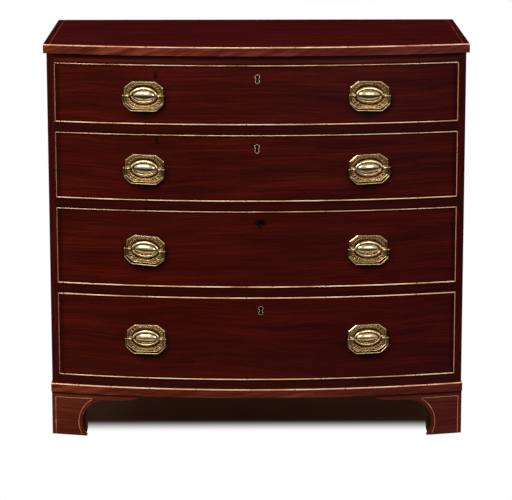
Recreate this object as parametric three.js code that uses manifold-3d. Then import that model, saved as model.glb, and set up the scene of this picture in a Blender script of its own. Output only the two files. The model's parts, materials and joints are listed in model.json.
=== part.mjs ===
// A bow front chest of four graduated long drawers, in mahogany with boxwood edges, brass
// plate handles and bracket feet. Millimetres, +Z up, the front faces -Y, and the origin is on
// the floor under the middle of the chest.
import * as THREE from 'three';
import { mergeVertices } from 'three/addons/utils/BufferGeometryUtils.js';
import Module from 'manifold-3d';

const wasm = await Module();
wasm.setup();

// Overall sizes
const TOP_WIDTH = 1060;
const TOTAL_DEPTH = 590;
const TOTAL_HEIGHT = 1004;
const TOP_THICKNESS = 22.5;
const SIDE_OVERHANG = 8;
const FRONT_OVERHANG = 10;
const BOW_RISE = 67;

// Carcass
const SIDE_THICKNESS = 18;
const TOP_RAIL_HEIGHT = 23;
const TOP_BOARD_THICKNESS = 16;
const DIVIDER_HEIGHT = 24;
const DUST_BOARD_THICKNESS = 10;
const BOTTOM_RAIL_HEIGHT = 23.5;
const BOTTOM_BOARD_THICKNESS = 15;
const RAIL_DEPTH = 45;
const RUNNER_WIDTH = 34;
const HOUSING_DEPTH = 6;
const HOUSING_STOP = 15;
const BACK_THICKNESS = 10;
const BACK_REBATE = 9;
const BACK_BOARDS = 4;
const BOARD_VEE = 2;

// Base moulding and feet
const MOULDING_HEIGHT = 23;
const MOULDING_WIDTH = 45;
const MOULDING_PROJECTION = 3;
const STRING_SIZE = 3;
const FOOT_HEIGHT = 111;
const FOOT_SETBACK = 1.5;
const FOOT_WIDTH = 90;
const FOOT_WAIST = 78.5;
const FOOT_WAIST_HEIGHT = 35;
const FOOT_WING = 225;
const FOOT_WING_DEPTH = 14;
const FOOT_SHOULDER = 145;
const FACING_THICKNESS = 18;
const BLOCK_DEPTH = 62;
const BLOCK_LIFT = 2;
const REAR_BRACKET = 150;

// Drawers, from the top one down: the rails leave a height that is shared out in these parts
const OPENING_SHARES = [150, 168.5, 195.5, 215];
const DRAWER_GAP = 0.8;
const RUNNING_CLEARANCE = 0.4;
const FRONT_THICKNESS = 24;
const BEAD_THICKNESS = 3;
const BEAD_DEPTH = 10;
const BEAD_PROJECTION = 1.5;
const LINING_THICKNESS = 9;
const SIDE_DROP = 5;
const BACK_DROP = 12;
const BACK_CLEARANCE = 8;
const PANEL_THICKNESS = 6;
const PANEL_LIFT = 9;
const GROOVE_DEPTH = 4;
const TAIL_LAP = 14;
const TAIL_HEIGHT = 24;
const TAIL_FLARE = 2.5;
const TAIL_SPACING = 44;
const STOP_HEIGHT = 5;
const STOP_WIDTH = 40;
const STOP_LENGTH = 18;
const STOP_SPACING = 500;

// Locks and keyholes: each keyhole's own distance from the middle, as measured
const KEYHOLE_OFFSETS = [2, 1, 9, 10];
const KEYHOLE_DROP = 34;
const KEYHOLE_RADIUS = 5.5;
const KEYHOLE_FOOT_RADIUS = 4.9;
const KEYHOLE_SLOT = 7;
const KEYHOLE_HEIGHT = 21.2;
const LOCK_WIDTH = 62;
const LOCK_HEIGHT = 46;
const LOCK_THICKNESS = 11;
const SELVAGE_WIDTH = 70;
const SELVAGE_THICKNESS = 2.5;
const PIN_RADIUS = 1.1;
const BOLT_WIDTH = 20;
const BOLT_THICKNESS = 6;
const MORTISE_DEPTH = 9;

// Brass handles: each pair of turns is that drawer's left and right plate, in degrees clockwise
// in the plate's own plane, as measured
const HANDLE_SPACING = 558;
const HANDLE_DROP = 2;
const HANDLE_TURNS = [[0, 2], [1.5, -2], [4, 1.5], [-0.5, -1]];
const PLATE_WIDTH = 97;
const PLATE_HEIGHT = 70;
const PLATE_TOP_FLAT = 58;
const PLATE_SIDE_FLAT = 40;
const PLATE_THICKNESS = 1.4;
const RIM_WIDTH = 4;
const RIM_HEIGHT = 2.8;
const BOSS_WIDTH = 69;
const BOSS_HEIGHT = 44;
const DOME_WIDTH = 53;
const DOME_HEIGHT = 26;
const RIDGE_RISE = 4.2;
const GROOVE_RISE = 2.6;
const DOME_RISE = 6.2;
const RIDGE_SHARE = 0.45;
const DOME_SHOULDER_SHARES = { across: 0.72, rise: 0.68 };
const POST_SPACING = 79;
const PIVOT_HEIGHT = 10;
const POST_BALL_RADIUS = 4.4;
const POST_STEM_RADIUS = 3;
const SHANK_RADIUS = 2.4;
const NUT_SIZE = 11;
const NUT_THICKNESS = 4;
const BAIL_WIDTH = 101;
const BAIL_DROP = 39;
const BAIL_SHOULDER_DROP = 18;
const BAIL_FLAT = 66;
const BAIL_RADIUS = 2.3;
const BAIL_BEND = 3;
const KNUCKLE_RADIUS = 3.2;
const KNUCKLE_LENGTH = 5;
const BAIL_PIN_RADIUS = 1.5;
const PIN_CLEARANCE = 0.3;

// Clearances and cutting
const GLUE_GAP = 0.2;
const FIT_GAP = 0.3;
const OVERRUN = 2;

// Facets: the bow is stepped on one angular grid, so that concentric faces stay parallel
const BOW_STEP = THREE.MathUtils.degToRad(1.9);
const LEAST_STEP_SHARE = 0.05;
const ROUND_SIDES = 8;
const SHANK_SIDES = 6;
const BALL_RINGS = 4;
const OVAL_SIDES = 14;
const CURVE_SIDES = 5;
const BEND_SIDES = 1;
const MERGE_DISTANCE = 1e-4;

// Derived places
const CASE_HALF = TOP_WIDTH / 2 - SIDE_OVERHANG;
const INNER_HALF = CASE_HALF - SIDE_THICKNESS;
const BOW_RADIUS = (CASE_HALF ** 2 + BOW_RISE ** 2) / (2 * BOW_RISE);
const BOW_CENTRE = -TOTAL_DEPTH / 2 + FRONT_OVERHANG + BOW_RADIUS;
const BACK_Y = TOTAL_DEPTH / 2;
const BACK_INSIDE = BACK_Y - BACK_THICKNESS;
const CASE_FOOT = FOOT_HEIGHT + MOULDING_HEIGHT;
const DRAWER_HALF = INNER_HALF - DRAWER_GAP;
const DRAWER_BACK = BACK_INSIDE - BACK_CLEARANCE;
const FRONT_INSIDE = BOW_RADIUS - FRONT_THICKNESS;
const MOULDING_RADIUS = BOW_RADIUS + MOULDING_PROJECTION;
const MOULDING_HALF = CASE_HALF + MOULDING_PROJECTION;
const HANDLE_ANGLE = Math.asin(HANDLE_SPACING / 2 / BOW_RADIUS);
const CASE_TOP = TOTAL_HEIGHT - TOP_THICKNESS;
const OPENINGS = [];
let openingFloor = CASE_FOOT + BOTTOM_RAIL_HEIGHT;
const dividersHeight = (OPENING_SHARES.length - 1) * DIVIDER_HEIGHT;
const sharedHeight = CASE_TOP - TOP_RAIL_HEIGHT - dividersHeight - openingFloor;
const shareSum = OPENING_SHARES.reduce((sum, share) => sum + share);
for (const share of [...OPENING_SHARES].reverse()) {
  const height = share * sharedHeight / shareSum;
  OPENINGS.unshift({ floor: openingFloor, ceiling: openingFloor + height });
  openingFloor += height + DIVIDER_HEIGHT;
}

// Finishes
const finish = (color, roughness, metalness = 0) =>
  new THREE.MeshStandardMaterial({ color, roughness, metalness });
const MAHOGANY = finish(0x4a1510, 0.35);
const CROSSBANDING = finish(0x6e2c1c, 0.4);
const BOXWOOD = finish(0xd8a468, 0.45);
const OAK = finish(0x9a7448, 0.7);
const PINE = finish(0x8a6238, 0.8);
const BRASS = finish(0xb8964f, 0.3, 1);
const STEEL = finish(0x6f675c, 0.5, 0.9);

// Solids

// A closed three.js geometry as a manifold solid: only positions are kept, and shared points merged.
function solid(geometry) {
  const bare = geometry.clone();
  bare.deleteAttribute('normal');
  bare.deleteAttribute('uv');
  const merged = mergeVertices(bare, MERGE_DISTANCE);
  return new wasm.Manifold(new wasm.Mesh({
    numProp: 3,
    vertProperties: merged.attributes.position.array,
    triVerts: new Uint32Array(merged.index.array),
  }));
}

// A manifold solid as a three.js mesh with its name and finish.
function meshOf(name, made, material) {
  const { vertProperties, triVerts } = made.getMesh();
  const geometry = new THREE.BufferGeometry();
  geometry.setAttribute('position', new THREE.BufferAttribute(vertProperties, 3));
  geometry.setIndex(new THREE.BufferAttribute(triVerts, 1));
  const mesh = new THREE.Mesh(geometry.toNonIndexed(), material);
  mesh.geometry.computeVertexNormals();
  mesh.name = name;
  return mesh;
}

const join = (first, ...rest) => rest.reduce((whole, next) => whole.add(next), first);
const cut = (first, ...rest) => rest.reduce((whole, next) => whole.subtract(next), first);

// A block between two corners.
function block([x0, x1], [y0, y1], [z0, z1]) {
  const geometry = new THREE.BoxGeometry(x1 - x0, y1 - y0, z1 - z0);
  return solid(geometry.translate((x0 + x1) / 2, (y0 + y1) / 2, (z0 + z1) / 2));
}

// A plan outline, given as points in X and Y, raised from z0 to z1.
function raised(points, [z0, z1], hole) {
  const shape = new THREE.Shape(points);
  if (hole) shape.holes.push(new THREE.Path(hole));
  const geometry = new THREE.ExtrudeGeometry(shape, { depth: z1 - z0, bevelEnabled: false });
  return solid(geometry.translate(0, 0, z0));
}

// A front elevation outline, given as points in X and Z, carried from y0 back to y1.
function carriedBack(points, [y0, y1], hole) {
  const shape = new THREE.Shape(points);
  if (hole) shape.holes.push(new THREE.Path(hole));
  const geometry = new THREE.ExtrudeGeometry(shape, { depth: y1 - y0, bevelEnabled: false });
  return solid(geometry.rotateX(Math.PI / 2).translate(0, y1, 0));
}

// A side elevation outline, given as points in Y and Z, carried from x0 to x1.
function carriedAcross(points, [x0, x1]) {
  const shape = new THREE.Shape(points);
  const geometry = new THREE.ExtrudeGeometry(shape, { depth: x1 - x0, bevelEnabled: false });
  return solid(geometry.rotateX(Math.PI / 2).rotateZ(Math.PI / 2).translate(x0, 0, 0));
}

// A round bar along one axis, between two places on it.
function bar(axis, radius, [from, to], sides = ROUND_SIDES) {
  const geometry = new THREE.CylinderGeometry(radius, radius, to - from, sides);
  if (axis === 'x') geometry.rotateZ(Math.PI / 2).translate((from + to) / 2, 0, 0);
  if (axis === 'y') geometry.translate(0, (from + to) / 2, 0);
  return solid(geometry);
}

// The bow's depth at a distance from the middle, on a face of the given radius.
const bowY = (radius, x) => BOW_CENTRE - Math.sqrt(radius ** 2 - x ** 2);

// How far a bowed face falls back from a flat laid against it, at a distance from where they
// touch, with the depth of one facet of the bow.
const bowFall = (x) => bowY(BOW_RADIUS, x) - bowY(BOW_RADIUS, 0) + BOW_RADIUS * (1 - Math.cos(BOW_STEP / 2));

// Points of a bowed face from x0 to x1: its two ends, and every step of the shared grid between.
function bowPoints(radius, x0, x1) {
  const [first, last] = [Math.asin(x0 / radius), Math.asin(x1 / radius)];
  const points = [new THREE.Vector2(x0, bowY(radius, x0))];
  const start = Math.ceil(first / BOW_STEP + LEAST_STEP_SHARE);
  for (let k = start; k < last / BOW_STEP - LEAST_STEP_SHARE; k++) {
    const angle = k * BOW_STEP;
    points.push(new THREE.Vector2(radius * Math.sin(angle), BOW_CENTRE - radius * Math.cos(angle)));
  }
  points.push(new THREE.Vector2(x1, bowY(radius, x1)));
  return points;
}

// A board with a bowed front and a straight back.
function bowBoard(half, radius, back, heights) {
  const corners = [new THREE.Vector2(half, back), new THREE.Vector2(-half, back)];
  return raised([...bowPoints(radius, -half, half), ...corners], heights);
}

// A curved slab between two concentric bowed faces, from x0 to x1.
function bowSlab([x0, x1], [inside, outside], heights) {
  const rear = bowPoints(inside, x0, x1).reverse();
  return raised([...bowPoints(outside, x0, x1), ...rear], heights);
}

// A frame standing on the bow: its -Y points straight out of the face at that angle.
function bowFrame(angle, radius, z) {
  const frame = new THREE.Group();
  frame.position.set(radius * Math.sin(angle), BOW_CENTRE - radius * Math.cos(angle), z);
  frame.rotation.z = angle;
  frame.updateMatrix();
  return frame;
}

// The same solid, moved as a frame on the bow would move it.
const onBow = (made, frame) => made.transform(frame.matrix.elements);

// Carcass

// The boards that lie across the carcass: a bowed front edge that shows between the sides, and
// tongues behind it that are housed in the sides. Grown by a gap, it is the tool for the housing.
function shelfOutline(grow) {
  const showing = INNER_HALF - FIT_GAP + grow;
  const tongue = INNER_HALF + HOUSING_DEPTH - FIT_GAP + grow;
  const shoulder = bowY(BOW_RADIUS, INNER_HALF) + HOUSING_STOP - grow;
  const rear = BACK_INSIDE - FIT_GAP + grow;
  return [
    ...bowPoints(BOW_RADIUS, -showing, showing),
    new THREE.Vector2(showing, shoulder), new THREE.Vector2(tongue, shoulder),
    new THREE.Vector2(tongue, rear), new THREE.Vector2(-tongue, rear),
    new THREE.Vector2(-tongue, shoulder), new THREE.Vector2(-showing, shoulder),
  ];
}

// The hollow left under or over a shelf's board, between its rail and its two runners.
function shelfHollow(heights) {
  const front = bowY(BOW_RADIUS, INNER_HALF) + RAIL_DEPTH;
  const half = INNER_HALF - RUNNER_WIDTH;
  return block([-half, half], [front, BACK_Y], heights);
}

// The pocket that a drawer lock's bolt shoots up into, in the rail above the drawer.
function boltMortise(index) {
  const { ceiling } = OPENINGS[index];
  const middle = LOCK_THICKNESS / 2;
  const pocket = block(
    [-BOLT_WIDTH / 2 - FIT_GAP, BOLT_WIDTH / 2 + FIT_GAP],
    [-middle - BOLT_THICKNESS / 2 - FIT_GAP, -middle + BOLT_THICKNESS / 2 + FIT_GAP],
    [-OVERRUN, MORTISE_DEPTH]);
  return onBow(pocket, bowFrame(KEYHOLE_OFFSETS[index] / BOW_RADIUS, FRONT_INSIDE, ceiling));
}

// Two glued blocks that a closing drawer front meets, on the rail that the drawer runs over.
function drawerStops(floor) {
  return [-1, 1].map((side) => {
    const stop = block(
      [-STOP_WIDTH / 2, STOP_WIDTH / 2], [0, STOP_LENGTH], [-OVERRUN, STOP_HEIGHT]);
    const angle = side * Math.asin(STOP_SPACING / 2 / BOW_RADIUS);
    const seat = FRONT_INSIDE - FIT_GAP - bowFall(STOP_WIDTH / 2);
    return onBow(stop, bowFrame(angle, seat, floor));
  });
}

function makeShelves() {
  const shelves = [];
  const shelf = (name, floor, height, hollow, extras = [], cuts = []) => {
    const board = raised(shelfOutline(0), [floor, floor + height]);
    const housing = raised(shelfOutline(FIT_GAP), [floor - FIT_GAP, floor + height + FIT_GAP]);
    const made = join(cut(board, shelfHollow(hollow), ...cuts), ...extras);
    shelves.push({ mesh: meshOf(name, made, MAHOGANY), housing });
  };
  const rail = CASE_TOP - GLUE_GAP;
  const railFloor = OPENINGS[0].ceiling;
  shelf('top_rail', railFloor, rail - railFloor,
    [railFloor + TOP_BOARD_THICKNESS, rail + OVERRUN], [], [boltMortise(0)]);
  for (let i = 1; i < OPENINGS.length; i++) {
    const floor = OPENINGS[i].ceiling;
    shelf(`divider_${i}`, floor, DIVIDER_HEIGHT,
      [floor - OVERRUN, floor + DIVIDER_HEIGHT - DUST_BOARD_THICKNESS],
      drawerStops(floor + DIVIDER_HEIGHT), [boltMortise(i)]);
  }
  const lowest = CASE_FOOT + GLUE_GAP;
  const bottomTop = CASE_FOOT + BOTTOM_RAIL_HEIGHT;
  shelf('case_bottom', lowest, bottomTop - lowest,
    [lowest - OVERRUN, bottomTop - BOTTOM_BOARD_THICKNESS], drawerStops(bottomTop));
  return shelves;
}

// A case side: its front edge follows the bow, its inside is housed for every shelf, and its
// inner back corner is rebated for the back boards.
function makeCaseSide(side, shelves) {
  const [near, far] = side < 0 ? [-CASE_HALF, -INNER_HALF] : [INNER_HALF, CASE_HALF];
  const corners = [new THREE.Vector2(far, BACK_Y), new THREE.Vector2(near, BACK_Y)];
  const outline = [...bowPoints(BOW_RADIUS, near, far), ...corners];
  const board = raised(outline, [CASE_FOOT + GLUE_GAP, CASE_TOP - GLUE_GAP]);
  const rebateHalf = INNER_HALF + BACK_REBATE;
  const rebate = block([-rebateHalf, rebateHalf], [BACK_INSIDE, BACK_Y + OVERRUN], [0, TOTAL_HEIGHT]);
  const name = side < 0 ? 'case_left_side' : 'case_right_side';
  return meshOf(name, cut(board, rebate, ...shelves.map(({ housing }) => housing)), MAHOGANY);
}

// The back: wide boards laid across and glued edge to edge, with a shallow vee at each joint.
function makeBack() {
  const half = INNER_HALF + BACK_REBATE - FIT_GAP;
  const heights = [CASE_FOOT + GLUE_GAP, CASE_TOP - GLUE_GAP];
  const panel = block([-half, half], [BACK_INSIDE + FIT_GAP, BACK_Y], heights);
  const vees = [];
  for (let i = 1; i < BACK_BOARDS; i++) {
    const z = THREE.MathUtils.lerp(heights[0], heights[1], i / BACK_BOARDS);
    vees.push(carriedAcross([
      new THREE.Vector2(BACK_Y - BOARD_VEE, z),
      new THREE.Vector2(BACK_Y + OVERRUN, z - BOARD_VEE - OVERRUN),
      new THREE.Vector2(BACK_Y + OVERRUN, z + BOARD_VEE + OVERRUN),
    ], [-half - OVERRUN, half + OVERRUN]));
  }
  return meshOf('back_board', cut(panel, ...vees), PINE);
}

// Boxwood let into the front upper edge of a bowed board, and the rebate that it lies in.
function edgeString(name, half, radius, top) {
  const strip = bowSlab([-half, half],
    [radius - STRING_SIZE + GLUE_GAP, radius], [top - STRING_SIZE + GLUE_GAP, top]);
  const rebate = bowSlab([-half - OVERRUN, half + OVERRUN],
    [radius - STRING_SIZE, radius + OVERRUN], [top - STRING_SIZE, top + OVERRUN]);
  return { mesh: meshOf(name, strip, BOXWOOD), rebate };
}

function makeTop() {
  const half = TOP_WIDTH / 2;
  const radius = BOW_RADIUS + FRONT_OVERHANG;
  const { mesh, rebate } = edgeString('top_stringing', half, radius, TOTAL_HEIGHT);
  const board = bowBoard(half, radius, BACK_Y, [CASE_TOP, TOTAL_HEIGHT]);
  return [meshOf('top', cut(board, rebate), MAHOGANY), mesh];
}

// The moulding under the carcass: one bowed length and two short ones, mitred and glued up.
function makeBaseMoulding() {
  const inner = MOULDING_HALF - MOULDING_WIDTH;
  const heights = [FOOT_HEIGHT, CASE_FOOT];
  const { mesh, rebate } = edgeString('base_stringing', MOULDING_HALF, MOULDING_RADIUS, CASE_FOOT);
  const whole = bowBoard(MOULDING_HALF, MOULDING_RADIUS, BACK_Y, heights);
  const middle = bowBoard(inner, MOULDING_RADIUS - MOULDING_WIDTH, BACK_Y + OVERRUN,
    [heights[0] - OVERRUN, heights[1] + OVERRUN]);
  return [meshOf('base_moulding', cut(whole, middle, rebate), CROSSBANDING), mesh];
}

// Feet

const FOOT_TOP = FOOT_HEIGHT - GLUE_GAP;

// A bracket's outline, measured inwards from its outer edge: narrow at the waist, swept out to
// the floor below it and to a thin wing under the moulding above it.
function bracketOutline() {
  const outline = new THREE.Path();
  const shoulder = FOOT_TOP - FOOT_WING_DEPTH;
  outline.moveTo(0, 0).lineTo(FOOT_WIDTH, 0);
  outline.quadraticCurveTo(FOOT_WAIST, FOOT_WAIST_HEIGHT / 2, FOOT_WAIST, FOOT_WAIST_HEIGHT);
  outline.bezierCurveTo(
    FOOT_WAIST, FOOT_WAIST_HEIGHT + (shoulder - FOOT_WAIST_HEIGHT) / 2,
    FOOT_WAIST + (FOOT_SHOULDER - FOOT_WAIST) / 3, shoulder, FOOT_SHOULDER, shoulder);
  outline.quadraticCurveTo(FOOT_WING, shoulder, FOOT_WING, FOOT_TOP);
  outline.lineTo(0, FOOT_TOP);
  return outline.getPoints(CURVE_SIDES);
}

// The plain bracket at the back of a rear foot, cut straight from the floor up to the moulding.
const rearBracketOutline = () => [
  new THREE.Vector2(0, 0), new THREE.Vector2(FOOT_WIDTH, 0),
  new THREE.Vector2(REAR_BRACKET, FOOT_TOP - FOOT_WING_DEPTH),
  new THREE.Vector2(REAR_BRACKET, FOOT_TOP), new THREE.Vector2(0, FOOT_TOP),
];

function makeFoot(side, isFront) {
  const outer = MOULDING_HALF - FOOT_SETBACK;
  const faceRadius = MOULDING_RADIUS - FOOT_SETBACK;
  const across = (points) => points.map((p) => new THREE.Vector2(side * (outer - p.x), p.y));
  const span = (a, b) => [side * a, side * b].sort((m, n) => m - n);
  const cornerY = isFront ? bowY(faceRadius, outer) : BACK_Y;
  const inward = isFront ? 1 : -1;
  const along = (points) => points.map((p) => new THREE.Vector2(cornerY + inward * p.x, p.y));
  const blockInner = outer - FOOT_WIDTH;
  const ySpan = (a, b) => [a, b].sort((m, n) => m - n);

  const sideFacing = carriedAcross(along(bracketOutline()), span(outer - FACING_THICKNESS, outer));
  let crossFacing;
  let blockFront;
  if (isFront) {
    const strip = bowSlab(span(outer - FOOT_WING, outer),
      [faceRadius - FACING_THICKNESS, faceRadius], [0, FOOT_TOP]);
    const reach = [-TOTAL_DEPTH, TOTAL_DEPTH];
    crossFacing = strip.intersect(carriedBack(across(bracketOutline()), reach));
    blockFront = bowY(faceRadius, blockInner) + FACING_THICKNESS / 2;
  } else {
    crossFacing = carriedBack(across(rearBracketOutline()), [BACK_Y - FACING_THICKNESS, BACK_Y]);
    blockFront = BACK_Y - FACING_THICKNESS / 2;
  }
  const blockBack = blockFront + inward * (BLOCK_DEPTH + FACING_THICKNESS / 2);
  const corner = block(
    span(blockInner, outer - FACING_THICKNESS / 2), ySpan(blockFront, blockBack), [BLOCK_LIFT, FOOT_TOP]);
  const beyond = bowSlab(span(blockInner - OVERRUN, outer),
    [faceRadius, faceRadius + BLOCK_DEPTH], [0, FOOT_HEIGHT]);
  const capped = isFront ? cut(corner, beyond) : corner;
  const name = `${isFront ? 'front' : 'rear'}_${side < 0 ? 'left' : 'right'}_foot`;
  return meshOf(name, join(sideFacing, crossFacing, capped), CROSSBANDING);
}

// Drawers

// Dovetails on the end of a drawer side: the side's end stops at "shoulder", and each tail runs
// on from there to "tip", widening as it goes.
function dovetails(x, shoulder, tip, [low, high], grow) {
  const count = Math.max(2, Math.floor((high - low) / TAIL_SPACING));
  const pitch = (high - low) / count;
  const outwards = Math.sign(tip - shoulder);
  const tails = [];
  for (let i = 0; i < count; i++) {
    const middle = low + (i + 0.5) * pitch;
    const narrow = TAIL_HEIGHT / 2 - TAIL_FLARE + grow;
    const wide = TAIL_HEIGHT / 2 + grow;
    const [root, end] = [shoulder - outwards * OVERRUN, tip + outwards * grow];
    tails.push(carriedAcross([
      new THREE.Vector2(root, middle - narrow), new THREE.Vector2(end, middle - wide),
      new THREE.Vector2(end, middle + wide), new THREE.Vector2(root, middle + narrow),
    ], [x[0] - grow, x[1] + grow]));
  }
  return tails;
}

// The keyhole: a round hole for the key's pipe, over a slot that widens to a round foot for its bit.
function keyholeOutline() {
  const [head, foot] = [KEYHOLE_RADIUS, KEYHOLE_FOOT_RADIUS];
  const leaves = Math.asin(KEYHOLE_SLOT / 2 / head);
  const meets = Math.asin(KEYHOLE_SLOT / 2 / foot);
  const path = new THREE.Path();
  path.absarc(0, KEYHOLE_HEIGHT / 2 - head, head, leaves - Math.PI / 2, 3 * Math.PI / 2 - leaves, false);
  path.absarc(0, foot - KEYHOLE_HEIGHT / 2, foot, Math.PI / 2 + meets, 5 * Math.PI / 2 - meets, false);
  return path.getPoints(CURVE_SIDES);
}

function makeDrawer(index) {
  const { floor, ceiling } = OPENINGS[index];
  const name = `drawer_${index + 1}`;
  const [low, high] = [floor + DRAWER_GAP, ceiling - DRAWER_GAP];
  const meshes = [];

  // Bottom panel, grown by a gap to plough the grooves that hold it
  const sideInner = DRAWER_HALF - GLUE_GAP - LINING_THICKNESS;
  const panelFloor = floor + RUNNING_CLEARANCE + PANEL_LIFT;
  const panel = (grow) => bowBoard(sideInner + GROOVE_DEPTH - FIT_GAP + grow,
    FRONT_INSIDE + GROOVE_DEPTH - FIT_GAP + grow, DRAWER_BACK + grow,
    [panelFloor - grow, panelFloor + PANEL_THICKNESS + grow]);

  // Sides, with lapped tails into the front and through tails into the back
  const sideHeights = [floor + RUNNING_CLEARANCE, ceiling - SIDE_DROP];
  const backHeights = [panelFloor + PANEL_THICKNESS + GLUE_GAP, ceiling - BACK_DROP];
  const frontShoulder = bowY(FRONT_INSIDE, DRAWER_HALF);
  const backShoulder = DRAWER_BACK - LINING_THICKNESS;
  const frontSpan = [panelFloor + PANEL_THICKNESS + FIT_GAP, sideHeights[1]];
  const tails = (side, grow) => {
    const x = side < 0 ? [-DRAWER_HALF + GLUE_GAP, -sideInner] : [sideInner, DRAWER_HALF - GLUE_GAP];
    return {
      x,
      front: dovetails(x, frontShoulder, frontShoulder - TAIL_LAP, frontSpan, grow),
      back: dovetails(x, backShoulder, DRAWER_BACK, backHeights, grow),
    };
  };
  const frontBlank = bowSlab([-DRAWER_HALF - OVERRUN, DRAWER_HALF + OVERRUN],
    [FRONT_INSIDE - GLUE_GAP, BOW_RADIUS], [floor - OVERRUN, ceiling + OVERRUN]);
  for (const side of [-1, 1]) {
    const { x, front, back } = tails(side, 0);
    const reach = [frontShoulder - FRONT_THICKNESS, backShoulder - GLUE_GAP];
    const board = cut(block(x, reach, sideHeights), frontBlank);
    const sideName = `${name}_${side < 0 ? 'left' : 'right'}_side`;
    meshes.push(meshOf(sideName, cut(join(board, ...front, ...back), panel(FIT_GAP)), OAK));
  }

  // Front: rebated all round for the cock bead, with sockets, groove, lock pocket and holes
  const core = bowSlab(
    [BEAD_THICKNESS + GLUE_GAP - DRAWER_HALF, DRAWER_HALF - BEAD_THICKNESS - GLUE_GAP],
    [FRONT_INSIDE, BOW_RADIUS], [low + BEAD_THICKNESS + GLUE_GAP, high - BEAD_THICKNESS - GLUE_GAP]);
  const rear = bowSlab([-DRAWER_HALF, DRAWER_HALF],
    [FRONT_INSIDE, BOW_RADIUS - BEAD_DEPTH - GLUE_GAP], [low, high]);
  const sockets = [-1, 1].flatMap((side) => tails(side, GLUE_GAP).front);
  const keyZ = high - KEYHOLE_DROP;
  const keyFrame = bowFrame(KEYHOLE_OFFSETS[index] / BOW_RADIUS, FRONT_INSIDE, 0);
  const keyhole = carriedBack(
    keyholeOutline().map((p) => new THREE.Vector2(p.x, p.y + keyZ)), [-FRONT_THICKNESS - OVERRUN, OVERRUN]);
  const lock = lockSolid(high, keyZ, 0);
  const lockPocket = lockSolid(high, keyZ, FIT_GAP);
  const handleZ = (low + high) / 2 - HANDLE_DROP;
  const handles = [-1, 1].map((side, pair) => {
    const frame = bowFrame(side * HANDLE_ANGLE, BOW_RADIUS, handleZ);
    frame.rotateY(THREE.MathUtils.degToRad(HANDLE_TURNS[index][pair]));
    frame.updateMatrix();
    return { side, frame };
  });
  const shankHoles = handles.flatMap(({ frame }) => [-1, 1].map((end) => {
    const hole = bar('y', SHANK_RADIUS + FIT_GAP, [-OVERRUN, FRONT_THICKNESS + OVERRUN], SHANK_SIDES);
    return onBow(hole.translate([end * POST_SPACING / 2, 0, 0]), frame);
  }));
  const frontMade = cut(join(core, rear), panel(FIT_GAP), ...sockets,
    onBow(keyhole, keyFrame), onBow(lockPocket, keyFrame), ...shankHoles);
  meshes.push(meshOf(`${name}_front`, frontMade, MAHOGANY));
  meshes.push(meshOf(`${name}_lock`, onBow(lock, keyFrame), STEEL));

  // Cock bead: a thin boxwood strip let in round the front and standing a little proud of it
  const beadOuter = bowSlab([-DRAWER_HALF, DRAWER_HALF],
    [BOW_RADIUS - BEAD_DEPTH, BOW_RADIUS + BEAD_PROJECTION], [low, high]);
  const beadInner = bowSlab([BEAD_THICKNESS - DRAWER_HALF, DRAWER_HALF - BEAD_THICKNESS],
    [BOW_RADIUS - BEAD_DEPTH - OVERRUN, BOW_RADIUS + BEAD_PROJECTION + OVERRUN],
    [low + BEAD_THICKNESS, high - BEAD_THICKNESS]);
  meshes.push(meshOf(`${name}_cock_bead`, cut(beadOuter, beadInner), BOXWOOD));

  // Back, standing on the bottom panel, and the panel itself
  const backHalf = DRAWER_HALF - GLUE_GAP;
  const backBoard = block([-backHalf, backHalf], [backShoulder, DRAWER_BACK], backHeights);
  const backSockets = [-1, 1].flatMap((side) => tails(side, GLUE_GAP).back);
  meshes.push(meshOf(`${name}_back`, cut(backBoard, ...backSockets), OAK));
  meshes.push(meshOf(`${name}_bottom`, panel(0), OAK));

  const drawer = new THREE.Group();
  drawer.add(...meshes);
  for (const { side, frame } of handles) {
    const handleName = `${name}_${side < 0 ? 'left' : 'right'}`;
    frame.add(makePlate(`${handleName}_plate`), makeBail(`${handleName}_bail`));
    drawer.add(frame);
  }
  return drawer;
}

// A drawer lock, let into the inside of the front: its case with the bolt drawn in, the selvage
// plate along the front's upper edge, and the pin that the key turns on. Grown by a gap, it is
// the tool for the pocket that it lies in.
function lockSolid(top, keyZ, grow) {
  const half = LOCK_WIDTH / 2 + grow;
  const caseTop = top - GLUE_GAP + grow;
  const body = block([-half, half], [-LOCK_THICKNESS - grow, grow > 0 ? OVERRUN : -GLUE_GAP],
    [top - LOCK_HEIGHT - grow, caseTop]);
  const selvage = block([-SELVAGE_WIDTH / 2 - grow, SELVAGE_WIDTH / 2 + grow],
    [-LOCK_THICKNESS - grow, grow > 0 ? OVERRUN : -GLUE_GAP],
    [top - SELVAGE_THICKNESS - grow, caseTop + (grow > 0 ? OVERRUN : 0)]);
  const whole = join(body, selvage);
  if (grow > 0) return whole;
  const keyCentre = keyZ + KEYHOLE_HEIGHT / 2 - KEYHOLE_RADIUS;
  const recess = bar('y', KEYHOLE_RADIUS, [-LOCK_THICKNESS - OVERRUN, -LOCK_THICKNESS / 2]);
  const pin = bar('y', PIN_RADIUS, [-LOCK_THICKNESS, -LOCK_THICKNESS / 2 + OVERRUN]);
  return join(cut(whole, recess.translate([0, 0, keyCentre])), pin.translate([0, 0, keyCentre]));
}

// Brass handles, in a frame on the drawer's face with -Y outwards and Z up

const PIVOT_Y = -PIVOT_HEIGHT;

// An octagon with unequal sides, drawn in from its outline by an inset.
function plateOutline(inset) {
  const [w, h] = [PLATE_WIDTH / 2 - inset, PLATE_HEIGHT / 2 - inset];
  const corner = inset * Math.tan(Math.PI / 8);
  const [u, v] = [PLATE_TOP_FLAT / 2 - corner, PLATE_SIDE_FLAT / 2 - corner];
  return [[w, -v], [w, v], [u, h], [-u, h], [-w, v], [-w, -v], [-u, -h], [u, -h]]
    .map(([x, z]) => new THREE.Vector2(x, z));
}

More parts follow.
